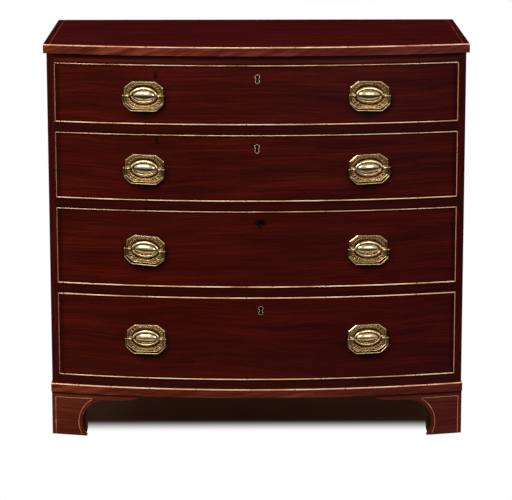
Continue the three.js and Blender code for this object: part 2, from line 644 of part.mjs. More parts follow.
// A boss of oval rings, each with a half width, a half height and a rise off the drawer's face,
// closed by a flat back and by a crown point.
function ovalBoss(rings, crown) {
  const places = [0, -rings[0][2], 0];
  for (const [a, b, rise] of rings) {
    for (let i = 0; i < OVAL_SIDES; i++) {
      const angle = 2 * Math.PI * i / OVAL_SIDES;
      places.push(a * Math.cos(angle), -rise, b * Math.sin(angle));
    }
  }
  places.push(0, -crown, 0);
  const at = (ring, i) => 1 + ring * OVAL_SIDES + i % OVAL_SIDES;
  const last = 1 + rings.length * OVAL_SIDES;
  const faces = [];
  for (let i = 0; i < OVAL_SIDES; i++) {
    faces.push(0, at(0, i + 1), at(0, i));
    for (let r = 0; r + 1 < rings.length; r++) {
      faces.push(at(r, i), at(r, i + 1), at(r + 1, i + 1), at(r, i), at(r + 1, i + 1), at(r + 1, i));
    }
    faces.push(at(rings.length - 1, i), at(rings.length - 1, i + 1), last);
  }
  const geometry = new THREE.BufferGeometry();
  geometry.setAttribute('position', new THREE.Float32BufferAttribute(places, 3));
  geometry.setIndex(faces);
  return solid(geometry);
}

// A handle plate with its two posts: pressed octagon, raised rim, oval boss, and for each post a
// bored ball on a stem, with a threaded shank through the drawer front and a square nut inside.
function makePlate(name) {
  const seat = -GLUE_GAP;
  const field = carriedBack(plateOutline(0), [seat - PLATE_THICKNESS, seat]);
  const rim = carriedBack(plateOutline(0), [seat - RIM_HEIGHT, seat], plateOutline(RIM_WIDTH));
  const sunk = PLATE_THICKNESS / 2;
  const { lerp } = THREE.MathUtils;
  const shoulder = DOME_SHOULDER_SHARES;
  const ridgeWidth = lerp(BOSS_WIDTH, DOME_WIDTH, RIDGE_SHARE);
  const ridgeHeight = lerp(BOSS_HEIGHT, DOME_HEIGHT, RIDGE_SHARE);
  const boss = ovalBoss([
    [BOSS_WIDTH / 2, BOSS_HEIGHT / 2, sunk],
    [BOSS_WIDTH / 2, BOSS_HEIGHT / 2, PLATE_THICKNESS + GLUE_GAP],
    [ridgeWidth / 2, ridgeHeight / 2, RIDGE_RISE],
    [DOME_WIDTH / 2, DOME_HEIGHT / 2, GROOVE_RISE],
    [shoulder.across * DOME_WIDTH / 2, shoulder.across * DOME_HEIGHT / 2,
      lerp(GROOVE_RISE, DOME_RISE, shoulder.rise)],
  ], DOME_RISE);
  const nutSeat = FRONT_THICKNESS + FIT_GAP + bowFall((POST_SPACING + NUT_SIZE) / 2);
  const posts = [-1, 1].map((end) => {
    const sphere = new THREE.SphereGeometry(POST_BALL_RADIUS, ROUND_SIDES, BALL_RINGS);
    const ball = solid(sphere.translate(0, PIVOT_Y, 0));
    const stem = bar('y', POST_STEM_RADIUS, [PIVOT_Y, -sunk]);
    const shank = bar('y', SHANK_RADIUS, [-sunk, nutSeat + NUT_THICKNESS / 2], SHANK_SIDES);
    const across = [-NUT_SIZE / 2, NUT_SIZE / 2];
    const nut = block(across, [nutSeat, nutSeat + NUT_THICKNESS], across);
    return join(ball, stem, shank, nut).translate([end * POST_SPACING / 2, 0, 0]);
  });
  const boreEnd = POST_SPACING / 2 + POST_BALL_RADIUS + OVERRUN;
  const boreStart = POST_SPACING / 2 - POST_BALL_RADIUS - OVERRUN;
  const bores = [[-boreEnd, -boreStart], [boreStart, boreEnd]].map(
    (span) => bar('x', BAIL_PIN_RADIUS + PIN_CLEARANCE, span).translate([0, PIVOT_Y, 0]));
  return meshOf(name, cut(join(field, rim, boss, ...posts), ...bores), BRASS);
}

// A bail's centre line in X and Z, hanging from the pivot: down each arm, in along the corners
// and across the foot, parallel to the plate's lower edge, with each bend eased.
function bailLine() {
  const corners = [
    [-BAIL_WIDTH / 2, 0], [-BAIL_WIDTH / 2, -BAIL_SHOULDER_DROP], [-BAIL_FLAT / 2, -BAIL_DROP],
    [BAIL_FLAT / 2, -BAIL_DROP], [BAIL_WIDTH / 2, -BAIL_SHOULDER_DROP], [BAIL_WIDTH / 2, 0],
  ].map(([x, z]) => new THREE.Vector2(x, z));
  const line = [corners[0]];
  for (let i = 1; i + 1 < corners.length; i++) {
    const towards = (other) => corners[i].clone().lerp(other, BAIL_BEND / corners[i].distanceTo(other));
    const bend = new THREE.QuadraticBezierCurve(towards(corners[i - 1]), corners[i], towards(corners[i + 1]));
    line.push(...bend.getPoints(BEND_SIDES));
  }
  line.push(corners.at(-1));
  return line;
}

// A round rod along a line in X and Z: one ring of points square to each stretch, flat ends.
function rodAlong(line, radius) {
  const places = [];
  line.forEach((p, i) => {
    const before = line[Math.max(i - 1, 0)];
    const after = line[Math.min(i + 1, line.length - 1)];
    const along = after.clone().sub(before).normalize();
    for (let k = 0; k < ROUND_SIDES; k++) {
      const angle = 2 * Math.PI * (k + 0.5) / ROUND_SIDES;
      const across = radius * Math.cos(angle);
      places.push(p.x - along.y * across, radius * Math.sin(angle), p.y + along.x * across);
    }
  });
  const ends = [line[0], line.at(-1)].map((p) => places.push(p.x, 0, p.y) / 3 - 1);
  const faces = [];
  const last = line.length - 1;
  for (let k = 0; k < ROUND_SIDES; k++) {
    const next = (k + 1) % ROUND_SIDES;
    for (let r = 0; r < last; r++) {
      const [a, b] = [r * ROUND_SIDES + k, r * ROUND_SIDES + next];
      faces.push(a, b + ROUND_SIDES, b, a, a + ROUND_SIDES, b + ROUND_SIDES);
    }
    faces.push(ends[0], k, next, ends[1], last * ROUND_SIDES + next, last * ROUND_SIDES + k);
  }
  const geometry = new THREE.BufferGeometry();
  geometry.setAttribute('position', new THREE.Float32BufferAttribute(places, 3));
  geometry.setIndex(faces);
  return solid(geometry);
}

// A bail: the swinging rod, with a knuckle at the top of each arm and a pin into each post.
function makeBail(name) {
  const rod = rodAlong(bailLine(), BAIL_RADIUS);
  const arm = BAIL_WIDTH / 2;
  const ends = [-1, 1].flatMap((side) => {
    const span = (a, b) => [side * a, side * b].sort((m, n) => m - n);
    return [
      bar('x', KNUCKLE_RADIUS, span(arm - KNUCKLE_LENGTH / 2, arm + KNUCKLE_LENGTH / 2)),
      bar('x', BAIL_PIN_RADIUS, span(POST_SPACING / 2 - POST_BALL_RADIUS / 2, arm)),
    ];
  });
  const bail = meshOf(name, join(rod, ...ends), BRASS);
  bail.position.y = PIVOT_Y;
  return bail;
}

// Assembly

const chest = new THREE.Group();
chest.name = 'bow_front_chest';
const shelves = makeShelves();
chest.add(
  ...makeTop(), ...shelves.map(({ mesh }) => mesh),
  makeCaseSide(-1, shelves), makeCaseSide(1, shelves), makeBack(), ...makeBaseMoulding(),
  makeFoot(-1, true), makeFoot(1, true), makeFoot(-1, false), makeFoot(1, false));
OPENINGS.forEach((_, index) => chest.add(makeDrawer(index)));

export default chest;
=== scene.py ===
import json
import math

import bmesh
import bpy
import numpy as np
from mathutils import Matrix, Vector


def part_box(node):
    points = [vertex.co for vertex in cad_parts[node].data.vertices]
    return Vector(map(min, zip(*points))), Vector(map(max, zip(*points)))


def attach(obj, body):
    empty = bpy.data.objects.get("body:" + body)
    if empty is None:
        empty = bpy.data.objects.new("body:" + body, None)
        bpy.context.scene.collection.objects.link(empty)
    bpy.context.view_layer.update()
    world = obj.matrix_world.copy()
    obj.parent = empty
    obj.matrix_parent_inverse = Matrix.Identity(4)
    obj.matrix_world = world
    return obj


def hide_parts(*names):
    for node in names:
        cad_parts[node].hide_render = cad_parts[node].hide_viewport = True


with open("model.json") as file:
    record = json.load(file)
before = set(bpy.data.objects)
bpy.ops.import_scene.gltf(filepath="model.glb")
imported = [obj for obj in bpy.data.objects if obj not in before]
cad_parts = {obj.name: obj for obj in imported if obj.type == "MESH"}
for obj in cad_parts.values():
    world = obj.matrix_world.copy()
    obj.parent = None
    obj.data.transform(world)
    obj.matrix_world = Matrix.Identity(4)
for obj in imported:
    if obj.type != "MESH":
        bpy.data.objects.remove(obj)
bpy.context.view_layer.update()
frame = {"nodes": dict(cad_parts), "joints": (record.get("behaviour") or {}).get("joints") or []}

# The camera
# A long lens six metres off, a little above the chest's top and tilted down to it.
# The slight shift frames the chest as the photograph does.
MM = 0.001
CAMERA_PLACE = (-21.4, -6218.5, 1765.1)
CAMERA_TILT, CAMERA_YAW, CAMERA_ROLL = 78.512, -0.189, -0.071
CAMERA_LENS = 170.81
CAMERA_SHIFT = -0.05

camera_data = bpy.data.cameras.new("camera")
camera_data.lens = CAMERA_LENS
camera_data.shift_y = CAMERA_SHIFT
camera = bpy.data.objects.new("camera", camera_data)
camera.matrix_world = (
    Matrix.Translation(Vector(CAMERA_PLACE) * MM)
    @ Matrix.Rotation(math.radians(CAMERA_YAW), 4, "Z")
    @ Matrix.Rotation(math.radians(CAMERA_TILT), 4, "X")
    @ Matrix.Rotation(math.radians(CAMERA_ROLL), 4, "Z"))
bpy.context.scene.collection.objects.link(camera)
bpy.context.scene.camera = camera


# The studio
# A white background, and a floor sheet that is white all round the chest and painted brown in the
# deep shade under it, which darkens that shade. The light is soft: wide lamps in front, overhead, at both
# ends and behind.
WHITE, SHEET_SHADE_TONE = "ffffff", "4c3224"
ROOM_LOW, ROOM_HIGH = "3c3a38", "9a9a9c"
SHEET_HALF, SHEET_DROP = (1300, 950), 0.3
SHADE_MIDDLE, SHADE_HALF, SHADE_FADE = 58, (500, 157), (25, 110)
MIRROR_START, MIRROR_END = 350, 620
LAMP_AIM = (0, 0, 520)
LAMPS = {
    "key_lamp": {"place": (-1500, -3300, 2500), "size": (2200, 1400), "watts": 120},
    "fill_lamp": {"place": (1600, -4000, 1700), "size": (1200, 1200), "watts": 42},
    "top_lamp": {"place": (200, -500, 3600), "size": (2400, 1600), "watts": 20},
    "left_lamp": {"place": (-3600, 300, 1500), "size": (2400, 2000), "watts": 60},
    "right_lamp": {"place": (3600, 300, 1500), "size": (2400, 2000), "watts": 60},
    "back_lamp": {"place": (1000, 3600, 1100), "size": (2400, 1600), "watts": 90}}
# How high a direction looks, from -1 to 1, at the start and the end of a change, and its values:
# the room's tone from low to high, and a mirrored white wall that comes in and then thins out.
ROOM_CHANGE, WALL_FOOT, WALL_HEAD = (-0.05, 0.75, 0.0, 1.0), (-0.16, 0.1, 0.0, 1.0), (0.35, 0.9, 1.0, 0.3)


def linear(colour):
    """A hex colour as linear red, green, blue and alpha: each sRGB value to the power law."""
    parts = [int(colour[i:i + 2], 16) / 255 for i in (0, 2, 4)]
    return tuple(((c + 0.055) / 1.055) ** 2.4 if c > 0.04045 else c / 12.92 for c in parts) + (1.0,)


def add(tree, kind, inputs=None, stops=None, **settings):
    """Adds one node. Settings are its own properties, and stops are a ramp's places and colours.
    Each input is a value, the socket that feeds it, or a node whose first live output does."""
    node = tree.nodes.new("ShaderNode" + kind)
    for name, value in settings.items():
        setattr(node, name, value)
    if stops:
        elements = node.color_ramp.elements
        while len(elements) < len(stops):
            elements.new(1.0)
        for element, (place, colour) in zip(elements, stops):
            element.position = place
            element.color = linear(colour)
    for key, value in (inputs or {}).items():
        live = [socket for socket in node.inputs if socket.enabled and socket.name == key]
        socket = live[0] if live else node.inputs[key]
        if isinstance(value, bpy.types.Node):
            value = [output for output in value.outputs if output.enabled][0]
        if isinstance(value, bpy.types.NodeSocket):
            tree.links.new(value, socket)
        else:
            socket.default_value = value
    return node


def lamp(name, place, size, watts):
    """A soft rectangular lamp that faces the middle of the chest."""
    data = bpy.data.lights.new(name, "AREA")
    data.shape = "RECTANGLE"
    data.size, data.size_y = size[0] * MM, size[1] * MM
    data.energy = watts
    obj = bpy.data.objects.new(name, data)
    obj.location = Vector(place) * MM
    obj.rotation_euler = (Vector(LAMP_AIM) - Vector(place)).to_track_quat("-Z", "Y").to_euler()
    bpy.context.scene.collection.objects.link(obj)


for name, settings in LAMPS.items():
    lamp(name, **settings)

world = bpy.data.worlds.new("studio")
world.use_nodes = True
bpy.context.scene.world = world
room = world.node_tree
room.nodes.clear()
ray = add(room, "LightPath").outputs
direction = add(room, "TexCoord").outputs["Generated"]
height = add(room, "SeparateXYZ", {0: direction}).outputs["Z"]
tone_share, wall_foot, wall_head = [
    add(room, "MapRange", {"Value": height, "From Min": start, "From Max": end, "To Min": low,
                           "To Max": high}, interpolation_type="SMOOTHSTEP")
    for start, end, low, high in (ROOM_CHANGE, WALL_FOOT, WALL_HEAD)]
room_tone = add(room, "Mix", {"Factor": tone_share, "A": linear(ROOM_LOW), "B": linear(ROOM_HIGH)},
                data_type="RGBA")
wall = add(room, "Math", {0: wall_foot, 1: wall_head}, operation="MULTIPLY")
mirrored = add(room, "Math", {0: ray["Is Glossy Ray"], 1: wall}, operation="MULTIPLY")
direct = add(room, "Math", {0: ray["Is Camera Ray"], 1: ray["Is Transmission Ray"]})
seen = add(room, "Math", {0: direct, 1: mirrored}, use_clamp=True)
backdrop = add(room, "Mix", {"Factor": seen, "A": room_tone, "B": linear(WHITE)}, data_type="RGBA")
background = add(room, "Background", {"Color": backdrop})
add(room, "OutputWorld", {"Surface": background})


def new_material(name):
    """An empty material, its nodes, and the place on a piece that its patterns follow."""
    material = bpy.data.materials.new(name)
    material.use_nodes = True
    material.node_tree.nodes.clear()
    place = add(material.node_tree, "TexCoord").outputs["Object"]
    return material, material.node_tree, place


# White paper, painted brown where the chest's deep shade falls so that the shade reads darker: the
# distance outside a rounded box on the floor turns the diffuse paper into plain white, for the camera and far
# off in a mirror too.
floor_material, sheet, place = new_material("white_floor_sheet")
outward = place
for operation, value in (("SUBTRACT", (0, SHADE_MIDDLE * MM, 0)), ("ABSOLUTE", (0, 0, 0)),
                         ("SUBTRACT", (SHADE_HALF[0] * MM, SHADE_HALF[1] * MM, 1)), ("MAXIMUM", (0, 0, 0))):
    outward = add(sheet, "VectorMath", {0: outward, 1: value}, operation=operation)
distance = add(sheet, "VectorMath", {0: outward}, operation="LENGTH")
fading = (1 / (SHADE_FADE[0] * MM), 1 / (SHADE_FADE[1] * MM), 1)
faded = add(sheet, "VectorMath", {0: outward, 1: fading}, operation="MULTIPLY")
faded = add(sheet, "VectorMath", {0: faded}, operation="LENGTH")
clear = add(sheet, "MapRange", {"Value": faded}, interpolation_type="SMOOTHSTEP")
far = add(sheet, "MapRange", {"Value": distance, "From Min": MIRROR_START * MM, "From Max": MIRROR_END * MM},
          interpolation_type="SMOOTHSTEP")
ray = add(sheet, "LightPath").outputs
seen = add(sheet, "Math", {0: ray["Is Camera Ray"], 1: ray["Is Transmission Ray"]})
mirrored = add(sheet, "Math", {0: ray["Is Glossy Ray"], 1: far}, operation="MULTIPLY")
seen = add(sheet, "Math", {0: seen, 1: mirrored})
white = add(sheet, "Math", {0: clear, 1: seen}, operation="MULTIPLY")
# The brown paper tone is painted shade under the chest.
paper = add(sheet, "BsdfDiffuse", {"Color": linear(SHEET_SHADE_TONE)})
glow = add(sheet, "Emission", {"Color": linear(WHITE)})
surface = add(sheet, "MixShader", {0: white, 1: paper, 2: glow})
add(sheet, "OutputMaterial", {"Surface": surface})

floor_mesh = bpy.data.meshes.new("floor_sheet")
floor_corners = [(x * SHEET_HALF[0] * MM, y * SHEET_HALF[1] * MM, -SHEET_DROP * MM)
                 for x, y in ((-1, -1), (1, -1), (1, 1), (-1, 1))]
floor_mesh.from_pydata(floor_corners, [], [(0, 1, 2, 3)])
floor_mesh.materials.append(floor_material)
floor = bpy.data.objects.new("floor", floor_mesh)
bpy.context.scene.collection.objects.link(floor)
bpy.context.scene.view_settings.view_transform = "Standard"


# The top
# One mahogany board with a bowed front, its front edge crossbanded in paler wood. A line of
# boxwood is let into the front upper edge, a hair higher than the worn board behind it, and a
# fine line runs down each end.
BOW_RISE, BOW_STEPS = 67, 121
TOP_OVERHANG = 10
STRING, STRING_GAP, STRING_ARRIS = 2.7, 0.15, 0.6
ARRIS = 0.9
FACE_DROP = 0.15
TOP_LINE_INSET, TOP_LINE_WIDTH, TOP_LINE_STOP, TOP_LINE_STEPS = 16, 1.4, 0.4, 24
TOP_WOOD = {"tones": ("2a0706", "3c0e0d", "571815"), "across": "Y", "streak": 5.0,
            "contrast": 1.15, "gloss": 0.0}
TOP_BANDING = {"tones": ("3e140f", "5a2119", "824032"), "ribbon": (1.1, 20), "contrast": 0.8, "warmth": 0.8}

case_low, case_high = [np.array(corner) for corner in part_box("case_left_side")]
case_half = -case_low[0]
back_y = case_high[1]
apex_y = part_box("drawer_4_front")[0][1]
bow_radius = (case_half ** 2 + (BOW_RISE * MM) ** 2) / (2 * BOW_RISE * MM)
bow_centre = apex_y + bow_radius


def bow_y(x, out=0.0):
    """Depth of a bowed face at x: the arc of the drawer fronts, moved out by a distance."""
    return bow_centre - np.sqrt((bow_radius + out) ** 2 - x ** 2)


def plan(half, out, back):
    """Outline from above: back left corner, the bow from left to right, back right corner."""
    x = np.linspace(-half, half, BOW_STEPS)
    bow = np.stack([x, bow_y(x, out)], 1)
    return np.vstack([[[-half, back]], bow, [[half, back]]])


def at_height(outline, z):
    """The points of an outline, all at one height."""
    return np.column_stack([outline, np.full(len(outline), z)])


def net(rows, columns, closed_rows=False, closed_columns=False, start=0):
    """Four-sided faces of a grid of points that are numbered row by row from start."""
    r = np.arange(rows if closed_rows else rows - 1)
    c = np.arange(columns if closed_columns else columns - 1)
    r, c = np.meshgrid(r, c, indexing="ij")
    r2, c2 = (r + 1) % rows, (c + 1) % columns
    corners = [r * columns + c, r * columns + c2, r2 * columns + c2, r2 * columns + c]
    return (np.stack(corners, -1).reshape(-1, 4) + start).tolist()


def stacked(outlines):
    """A closed solid: a wall from each outline to the next, and a flat cap on the first and last."""
    levels, count = outlines.shape[:2]
    caps = [list(range(count))[::-1], list(range((levels - 1) * count, levels * count))]
    return outlines.reshape(-1, 3), net(levels, count, closed_columns=True) + caps


def read(items, name, width, kind=np.float64):
    """One property of all of a mesh's items, as an array with a row for each."""
    values = np.zeros(len(items) * width, kind)
    items.foreach_get(name, values)
    return values.reshape(len(items), width)


def make(name, shell, material, body, replaced=(), smooth=40):
    """A finished piece: its mesh with faces outwards, its material, and the body it rides on."""
    points, faces = shell
    mesh = bpy.data.meshes.new(name)
    mesh.from_pydata(points.tolist(), [], faces)
    work = bmesh.new()
    work.from_mesh(mesh)
    bmesh.ops.recalc_face_normals(work, faces=work.faces)
    work.to_mesh(mesh)
    work.free()
    mesh.polygons.foreach_set("use_smooth", np.ones(len(mesh.polygons), bool))
    mesh.set_sharp_from_angle(angle=math.radians(smooth))
    mesh.materials.append(material)
    piece = bpy.data.objects.new(name, mesh)
    bpy.context.scene.collection.objects.link(piece)
    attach(piece, body)
    if replaced:
        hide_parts(*replaced)
    return piece


def ease(piece, width, angle=35):
    """Rounds a piece's arrises: a small bevel on every edge sharper than an angle."""
    bevel = piece.modifiers.new("eased_arris", "BEVEL")
    bevel.width = width * MM
    bevel.segments = 2
    bevel.limit_method = "ANGLE"
    bevel.angle_limit = math.radians(angle)
    bevel.harden_normals = True
    return piece


# Polished wood. Lengths along the grain and widths across it are in millimetres: a tree's own
# figure, streaks that each wood has a width for, fine lines a share of that, and pores, which are
# drawn three times as coarse as real ones so that they show. Last come detail and roughness of
# the noise, and its share of the tone.
FIGURE = (330, 26, 2.0, 0.55, 0.26)
STREAK_LENGTH, STREAKS = 170, (3.0, 0.62, 0.36)
FINE_LENGTH, FINE_WIDTH, FINE_LINES = 90, 0.4, (2.0, 0.55, 0.38)
PORES = (11, 1.1, 1.0, 0.55)
PORE_START, PORE_END, PORE_DARK = 0.62, 0.75, -0.16
WANDER_LENGTH, TONE_SPREAD = 384.615, 0.16
RIBBON_LENGTH, RIBBON_WIDTH, RIBBON_FADE, RIBBON_LEFT = 166.667, 9.5238, (-450, 250), 0.35
WARMTH_REACH, WARMTH_TINT = 500, [(0.0, "ffffc0"), (0.5, "f8f6f6"), (1.0, "ecebff")]
# Tone and full core of the dark ovals, used both for real stains and for painted shade.
STAIN_AND_SHADE_TONE, STAIN_AND_SHADE_CORE = "0a0302", 0.55
WOOD_RELIEF = {"Strength": 0.2, "Distance": 0.2 * MM}


def wood(name, tones, across="Z", slope=0.0, roughness=0.32, streak=2.2, gloss=0.04, contrast=1.0,
         warmth=0.0, wave=0.05, ribbon=None, stains_and_shade=(), other=None):
    """Wood cut along its grain. Its tone is a sum of noises, each drawn out along the grain and
    narrow across it: broad figure, streaks, fine lines, and dark pores past a limit. The grain
    wanders by a slow wave. Warmth drifts the colour from orange at the left to wine at the right.
    A ribbon is a share and an angle, and lays bands of figure that rise to the right. Dark marks,
    of dirt and of painted shade, are each a middle, two half widths and a share, and darken an oval
    that fades outwards. Other names an axis, a place on it, whether both ways count, and a second wood past
    it."""
    material, tree, place = new_material(name)
    turned = add(tree, "Mapping", {"Vector": place, "Rotation": (0, math.radians(slope), 0)})
    wander = add(tree, "TexNoise", {"Vector": turned, "Scale": 1 / (WANDER_LENGTH * MM), "Detail": 1.0})
    shift = add(tree, "Math", {0: wander, 1: -0.5})
    shift = add(tree, "CombineXYZ", {across: shift})
    bent = add(tree, "VectorMath", {0: shift, 1: (wave, wave, wave), 2: turned}, operation="MULTIPLY_ADD")
    sideways = add(tree, "SeparateXYZ", {0: place}).outputs["X"]

    def grain(length, width, detail, rough):
        """Noise with one feature to a length along the grain and to a width across it."""
        scales = tuple(1 / ((width if axis == across else length) * MM) for axis in "XYZ")
        drawn = add(tree, "VectorMath", {0: bent, 1: scales}, operation="MULTIPLY")
        return add(tree, "TexNoise", {"Vector": drawn, "Scale": 1.0, "Detail": detail, "Roughness": rough})

    tone = 0.0
    for *size, share in (FIGURE, (STREAK_LENGTH, streak, *STREAKS),
                         (FINE_LENGTH, streak * FINE_WIDTH, *FINE_LINES)):
        tone = add(tree, "Math", {0: grain(*size), 1: share, 2: tone}, operation="MULTIPLY_ADD")
    pores = add(tree, "MapRange", {"Value": grain(*PORES), "From Min": PORE_START, "From Max": PORE_END,
                                   "To Max": PORE_DARK})
    tone = add(tree, "Math", {0: tone, 1: pores})
    if ribbon:
        share, angle = ribbon
        lean = add(tree, "Mapping", {"Vector": place, "Rotation": (0, math.radians(angle), 0)})
        scales = (1 / (RIBBON_LENGTH * MM), 1 / (RIBBON_LENGTH * MM), 1 / (RIBBON_WIDTH * MM))
        drawn = add(tree, "VectorMath", {0: lean, 1: scales}, operation="MULTIPLY")
        bands = add(tree, "TexNoise", {"Vector": drawn, "Scale": 1.0, "Detail": 3.0})
        bands = add(tree, "Math", {0: bands, 1: -0.5})
        fading = add(tree, "MapRange", {"Value": sideways, "From Min": RIBBON_FADE[0] * MM,
                                        "From Max": RIBBON_FADE[1] * MM, "To Min": share,
                                        "To Max": share * RIBBON_LEFT})
        tone = add(tree, "Math", {0: bands, 1: fading, 2: tone}, operation="MULTIPLY_ADD")
    spread = TONE_SPREAD / contrast
    scaled = add(tree, "MapRange", {"Value": tone, "From Min": 0.5 - spread, "From Max": 0.5 + spread})
    colour = add(tree, "ValToRGB", {"Fac": scaled}, stops=list(zip((0.0, 0.5, 1.0), tones)))
    if warmth:
        drift = add(tree, "MapRange", {"Value": sideways, "From Min": -WARMTH_REACH * MM,
                                       "From Max": WARMTH_REACH * MM})
        tint = add(tree, "ValToRGB", {"Fac": drift}, stops=WARMTH_TINT)
        colour = add(tree, "Mix", {"Factor": warmth, "A": colour, "B": tint}, data_type="RGBA",
                     blend_type="MULTIPLY")
    for x, z, half_x, half_z, share in stains_and_shade:
        halves = (1 / (half_x * MM), 0, 1 / (half_z * MM))
        away = add(tree, "VectorMath", {0: place, 1: (x * MM, 0, z * MM)}, operation="SUBTRACT")
        away = add(tree, "VectorMath", {0: away, 1: halves}, operation="MULTIPLY")
        away = add(tree, "VectorMath", {0: away}, operation="LENGTH")
        stain_and_shade = add(tree, "MapRange", {"Value": away, "From Min": 1.0, "From Max": STAIN_AND_SHADE_CORE,
                                       "To Max": share}, interpolation_type="SMOOTHSTEP")
        colour = add(tree, "Mix", {"Factor": stain_and_shade, "A": colour, "B": linear(STAIN_AND_SHADE_TONE)}, data_type="RGBA")
    rough = roughness
    if other:
        axis, start, both_ways, other_tones, other_roughness = other
        value = add(tree, "SeparateXYZ", {0: place}).outputs[axis]
        if both_ways:
            value = add(tree, "Math", {0: value}, operation="ABSOLUTE")
        past = add(tree, "Math", {0: value, 1: start}, operation="LESS_THAN" if both_ways else "GREATER_THAN")
        second = add(tree, "ValToRGB", {"Fac": scaled}, stops=list(zip((0.0, 0.5, 1.0), other_tones)))
        colour = add(tree, "Mix", {"Factor": past, "A": colour, "B": second}, data_type="RGBA")
        rough = add(tree, "MapRange", {"Value": past, "To Min": roughness, "To Max": other_roughness})
    bump = add(tree, "Bump", {"Height": tone, **WOOD_RELIEF})
    shader = add(tree, "BsdfPrincipled", {
        "Base Color": colour, "Roughness": rough, "Specular IOR Level": gloss, "Normal": bump})
    add(tree, "OutputMaterial", {"Surface": shader})
    return material


# French polished mahogany: the board is deep wine red with quiet streaks, and the banding on its
# edge is paler, cut across the grain, with bright ribbons that lean to the right.
mahogany_top = wood("french_polished_mahogany_top", **TOP_WOOD)
mahogany_banding = wood("crossbanded_mahogany", **TOP_BANDING)

top_low, top_high = [np.array(corner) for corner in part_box("top")]
top_half = top_high[0]
top_front = TOP_OVERHANG * MM
ledge = (STRING + STRING_GAP) * MM
top_face = top_high[2] - FACE_DROP * MM
top_outlines = [at_height(plan(top_half, out, back_y), z) for out, z in (
    (top_front, top_low[2]), (top_front, top_high[2] - ledge),
    (top_front - ledge, top_high[2] - ledge), (top_front - ledge, top_face))]
top = make("top_board", stacked(np.array(top_outlines)), mahogany_top, "case", ["top"])
top.data.materials.append(mahogany_banding)
faces_front = read(top.data.polygons, "normal", 3)[:, 1] < -0.5
top.data.polygons.foreach_set("material_index", faces_front.astype(np.int32))
ease(top, ARRIS)


def edge_string(name, half, out, height, wood_used, replaced):
    """A square line of boxwood let into the front upper edge of a bowed board: a square carried
    along the bow from end to end."""
    x = np.linspace(-half, half, BOW_STEPS)
    inside, under = out - STRING * MM, height - STRING * MM
    corners = [(inside, under), (out, under), (out, height), (inside, height)]
    rings = np.stack([np.stack([x, bow_y(x, o), np.full_like(x, z)], 1) for o, z in corners], 1)
    return ease(make(name, stacked(rings), wood_used, "case", replaced), STRING_ARRIS)


# Boxwood line: size of its streaks along x, y and z, width of the dark hairline where two lengths
# meet, width of the upright beads at the drawers' ends, and their worn tones from left to right.
BOXWOOD_STREAKS = (76.923, 40, 16.667)
MEETING_WIDTH, MEETING_SHARE, MEETING_TONE = 1.2, 0.85, "241008"
UPRIGHT_BEAD = 3.1
WORN_BEAD = [(0.0, "8e4c36"), (0.1, "c87450")]
BOXWOOD_RELIEF = {"Strength": 0.1, "Distance": 0.4 * MM}
BOXWOOD_ROUGHNESS = 0.42
drawer_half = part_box("drawer_1_cock_bead")[1][0]


def boxwood_material(name, tones, length, dull=0.0, gloss=0.12):
    """Boxwood, polished over: honey streaks along its length, darker runs where polish and dirt
    lie, a dark hairline wherever two lengths meet, and duller where it stands upright, more so at
    the left end. The streaks are a noise drawn out along x, the meetings a row of cells."""
    material, tree, place = new_material(name)
    sideways = add(tree, "SeparateXYZ", {0: place}).outputs["X"]
    scales = tuple(1 / (size * MM) for size in BOXWOOD_STREAKS)
    grain = add(tree, "VectorMath", {0: place, 1: scales}, operation="MULTIPLY")
    streaks = add(tree, "TexNoise", {"Vector": grain, "Scale": 1.0, "Detail": 2.0})
    colour = add(tree, "ValToRGB", {"Fac": streaks}, stops=list(zip((0.3, 0.5, 0.68), tones)))
    far = add(tree, "Math", {0: sideways}, operation="ABSOLUTE")
    upright = add(tree, "Math", {0: far, 1: drawer_half - UPRIGHT_BEAD * MM}, operation="GREATER_THAN")
    shade = add(tree, "Math", {0: upright, 1: dull}, operation="MULTIPLY")
    worn = add(tree, "ValToRGB", {"Fac": sideways}, stops=WORN_BEAD)
    colour = add(tree, "Mix", {"Factor": shade, "A": colour, "B": worn}, data_type="RGBA")
    cells = add(tree, "TexVoronoi", {"W": sideways, "Scale": 1 / (length * MM)}, voronoi_dimensions="1D",
                feature="DISTANCE_TO_EDGE").outputs["Distance"]
    meeting = add(tree, "Math", {0: cells, 1: MEETING_WIDTH / length}, operation="LESS_THAN")
    meeting = add(tree, "Math", {0: meeting, 1: MEETING_SHARE}, operation="MULTIPLY")
    colour = add(tree, "Mix", {"Factor": meeting, "A": colour, "B": linear(MEETING_TONE)}, data_type="RGBA")
    bump = add(tree, "Bump", {"Height": streaks, **BOXWOOD_RELIEF})
    shader = add(tree, "BsdfPrincipled", {"Base Color": colour, "Roughness": BOXWOOD_ROUGHNESS,
                                          "Specular IOR Level": gloss, "Normal": bump})
    add(tree, "OutputMaterial", {"Surface": shader})
    return material


# Boxwood under old polish: amber along the top's edge, red brown and matt down its ends.
boxwood = boxwood_material("boxwood_string", ("ba764e", "e6a87a", "ffd4a8"), length=111.111)
edge_string("top_string", top_half, top_front, top_high[2], boxwood, ["top_stringing"])

INLAY_SEAT, INLAY_PROUD = 0.3, 0.12


def inlay(name, line, width, place_on, material, body):
    """A fine line of boxwood let in: a ribbon of one width along a line of points in a surface's
    own plane, a tenth of a millimetre proud, with its edges just under the surface."""
    line = np.asarray(line, float)
    tangent = np.gradient(line, axis=0)
    tangent /= np.linalg.norm(tangent, axis=1)[:, None]
    across = np.stack([-tangent[:, 1], tangent[:, 0]], 1) * width / 2
    section = [(-1, -INLAY_SEAT), (1, -INLAY_SEAT), (1, INLAY_PROUD), (-1, INLAY_PROUD)]
    rings = np.stack([place_on(line + s * across, out) for s, out in section], 1)
    return make(name, stacked(rings), material, body)


def on_top(line, out):
    """Points of a line in the top's plane, in millimetres, raised above its face by a distance."""
    return np.column_stack([line * MM, np.full(len(line), top_face + out * MM)])


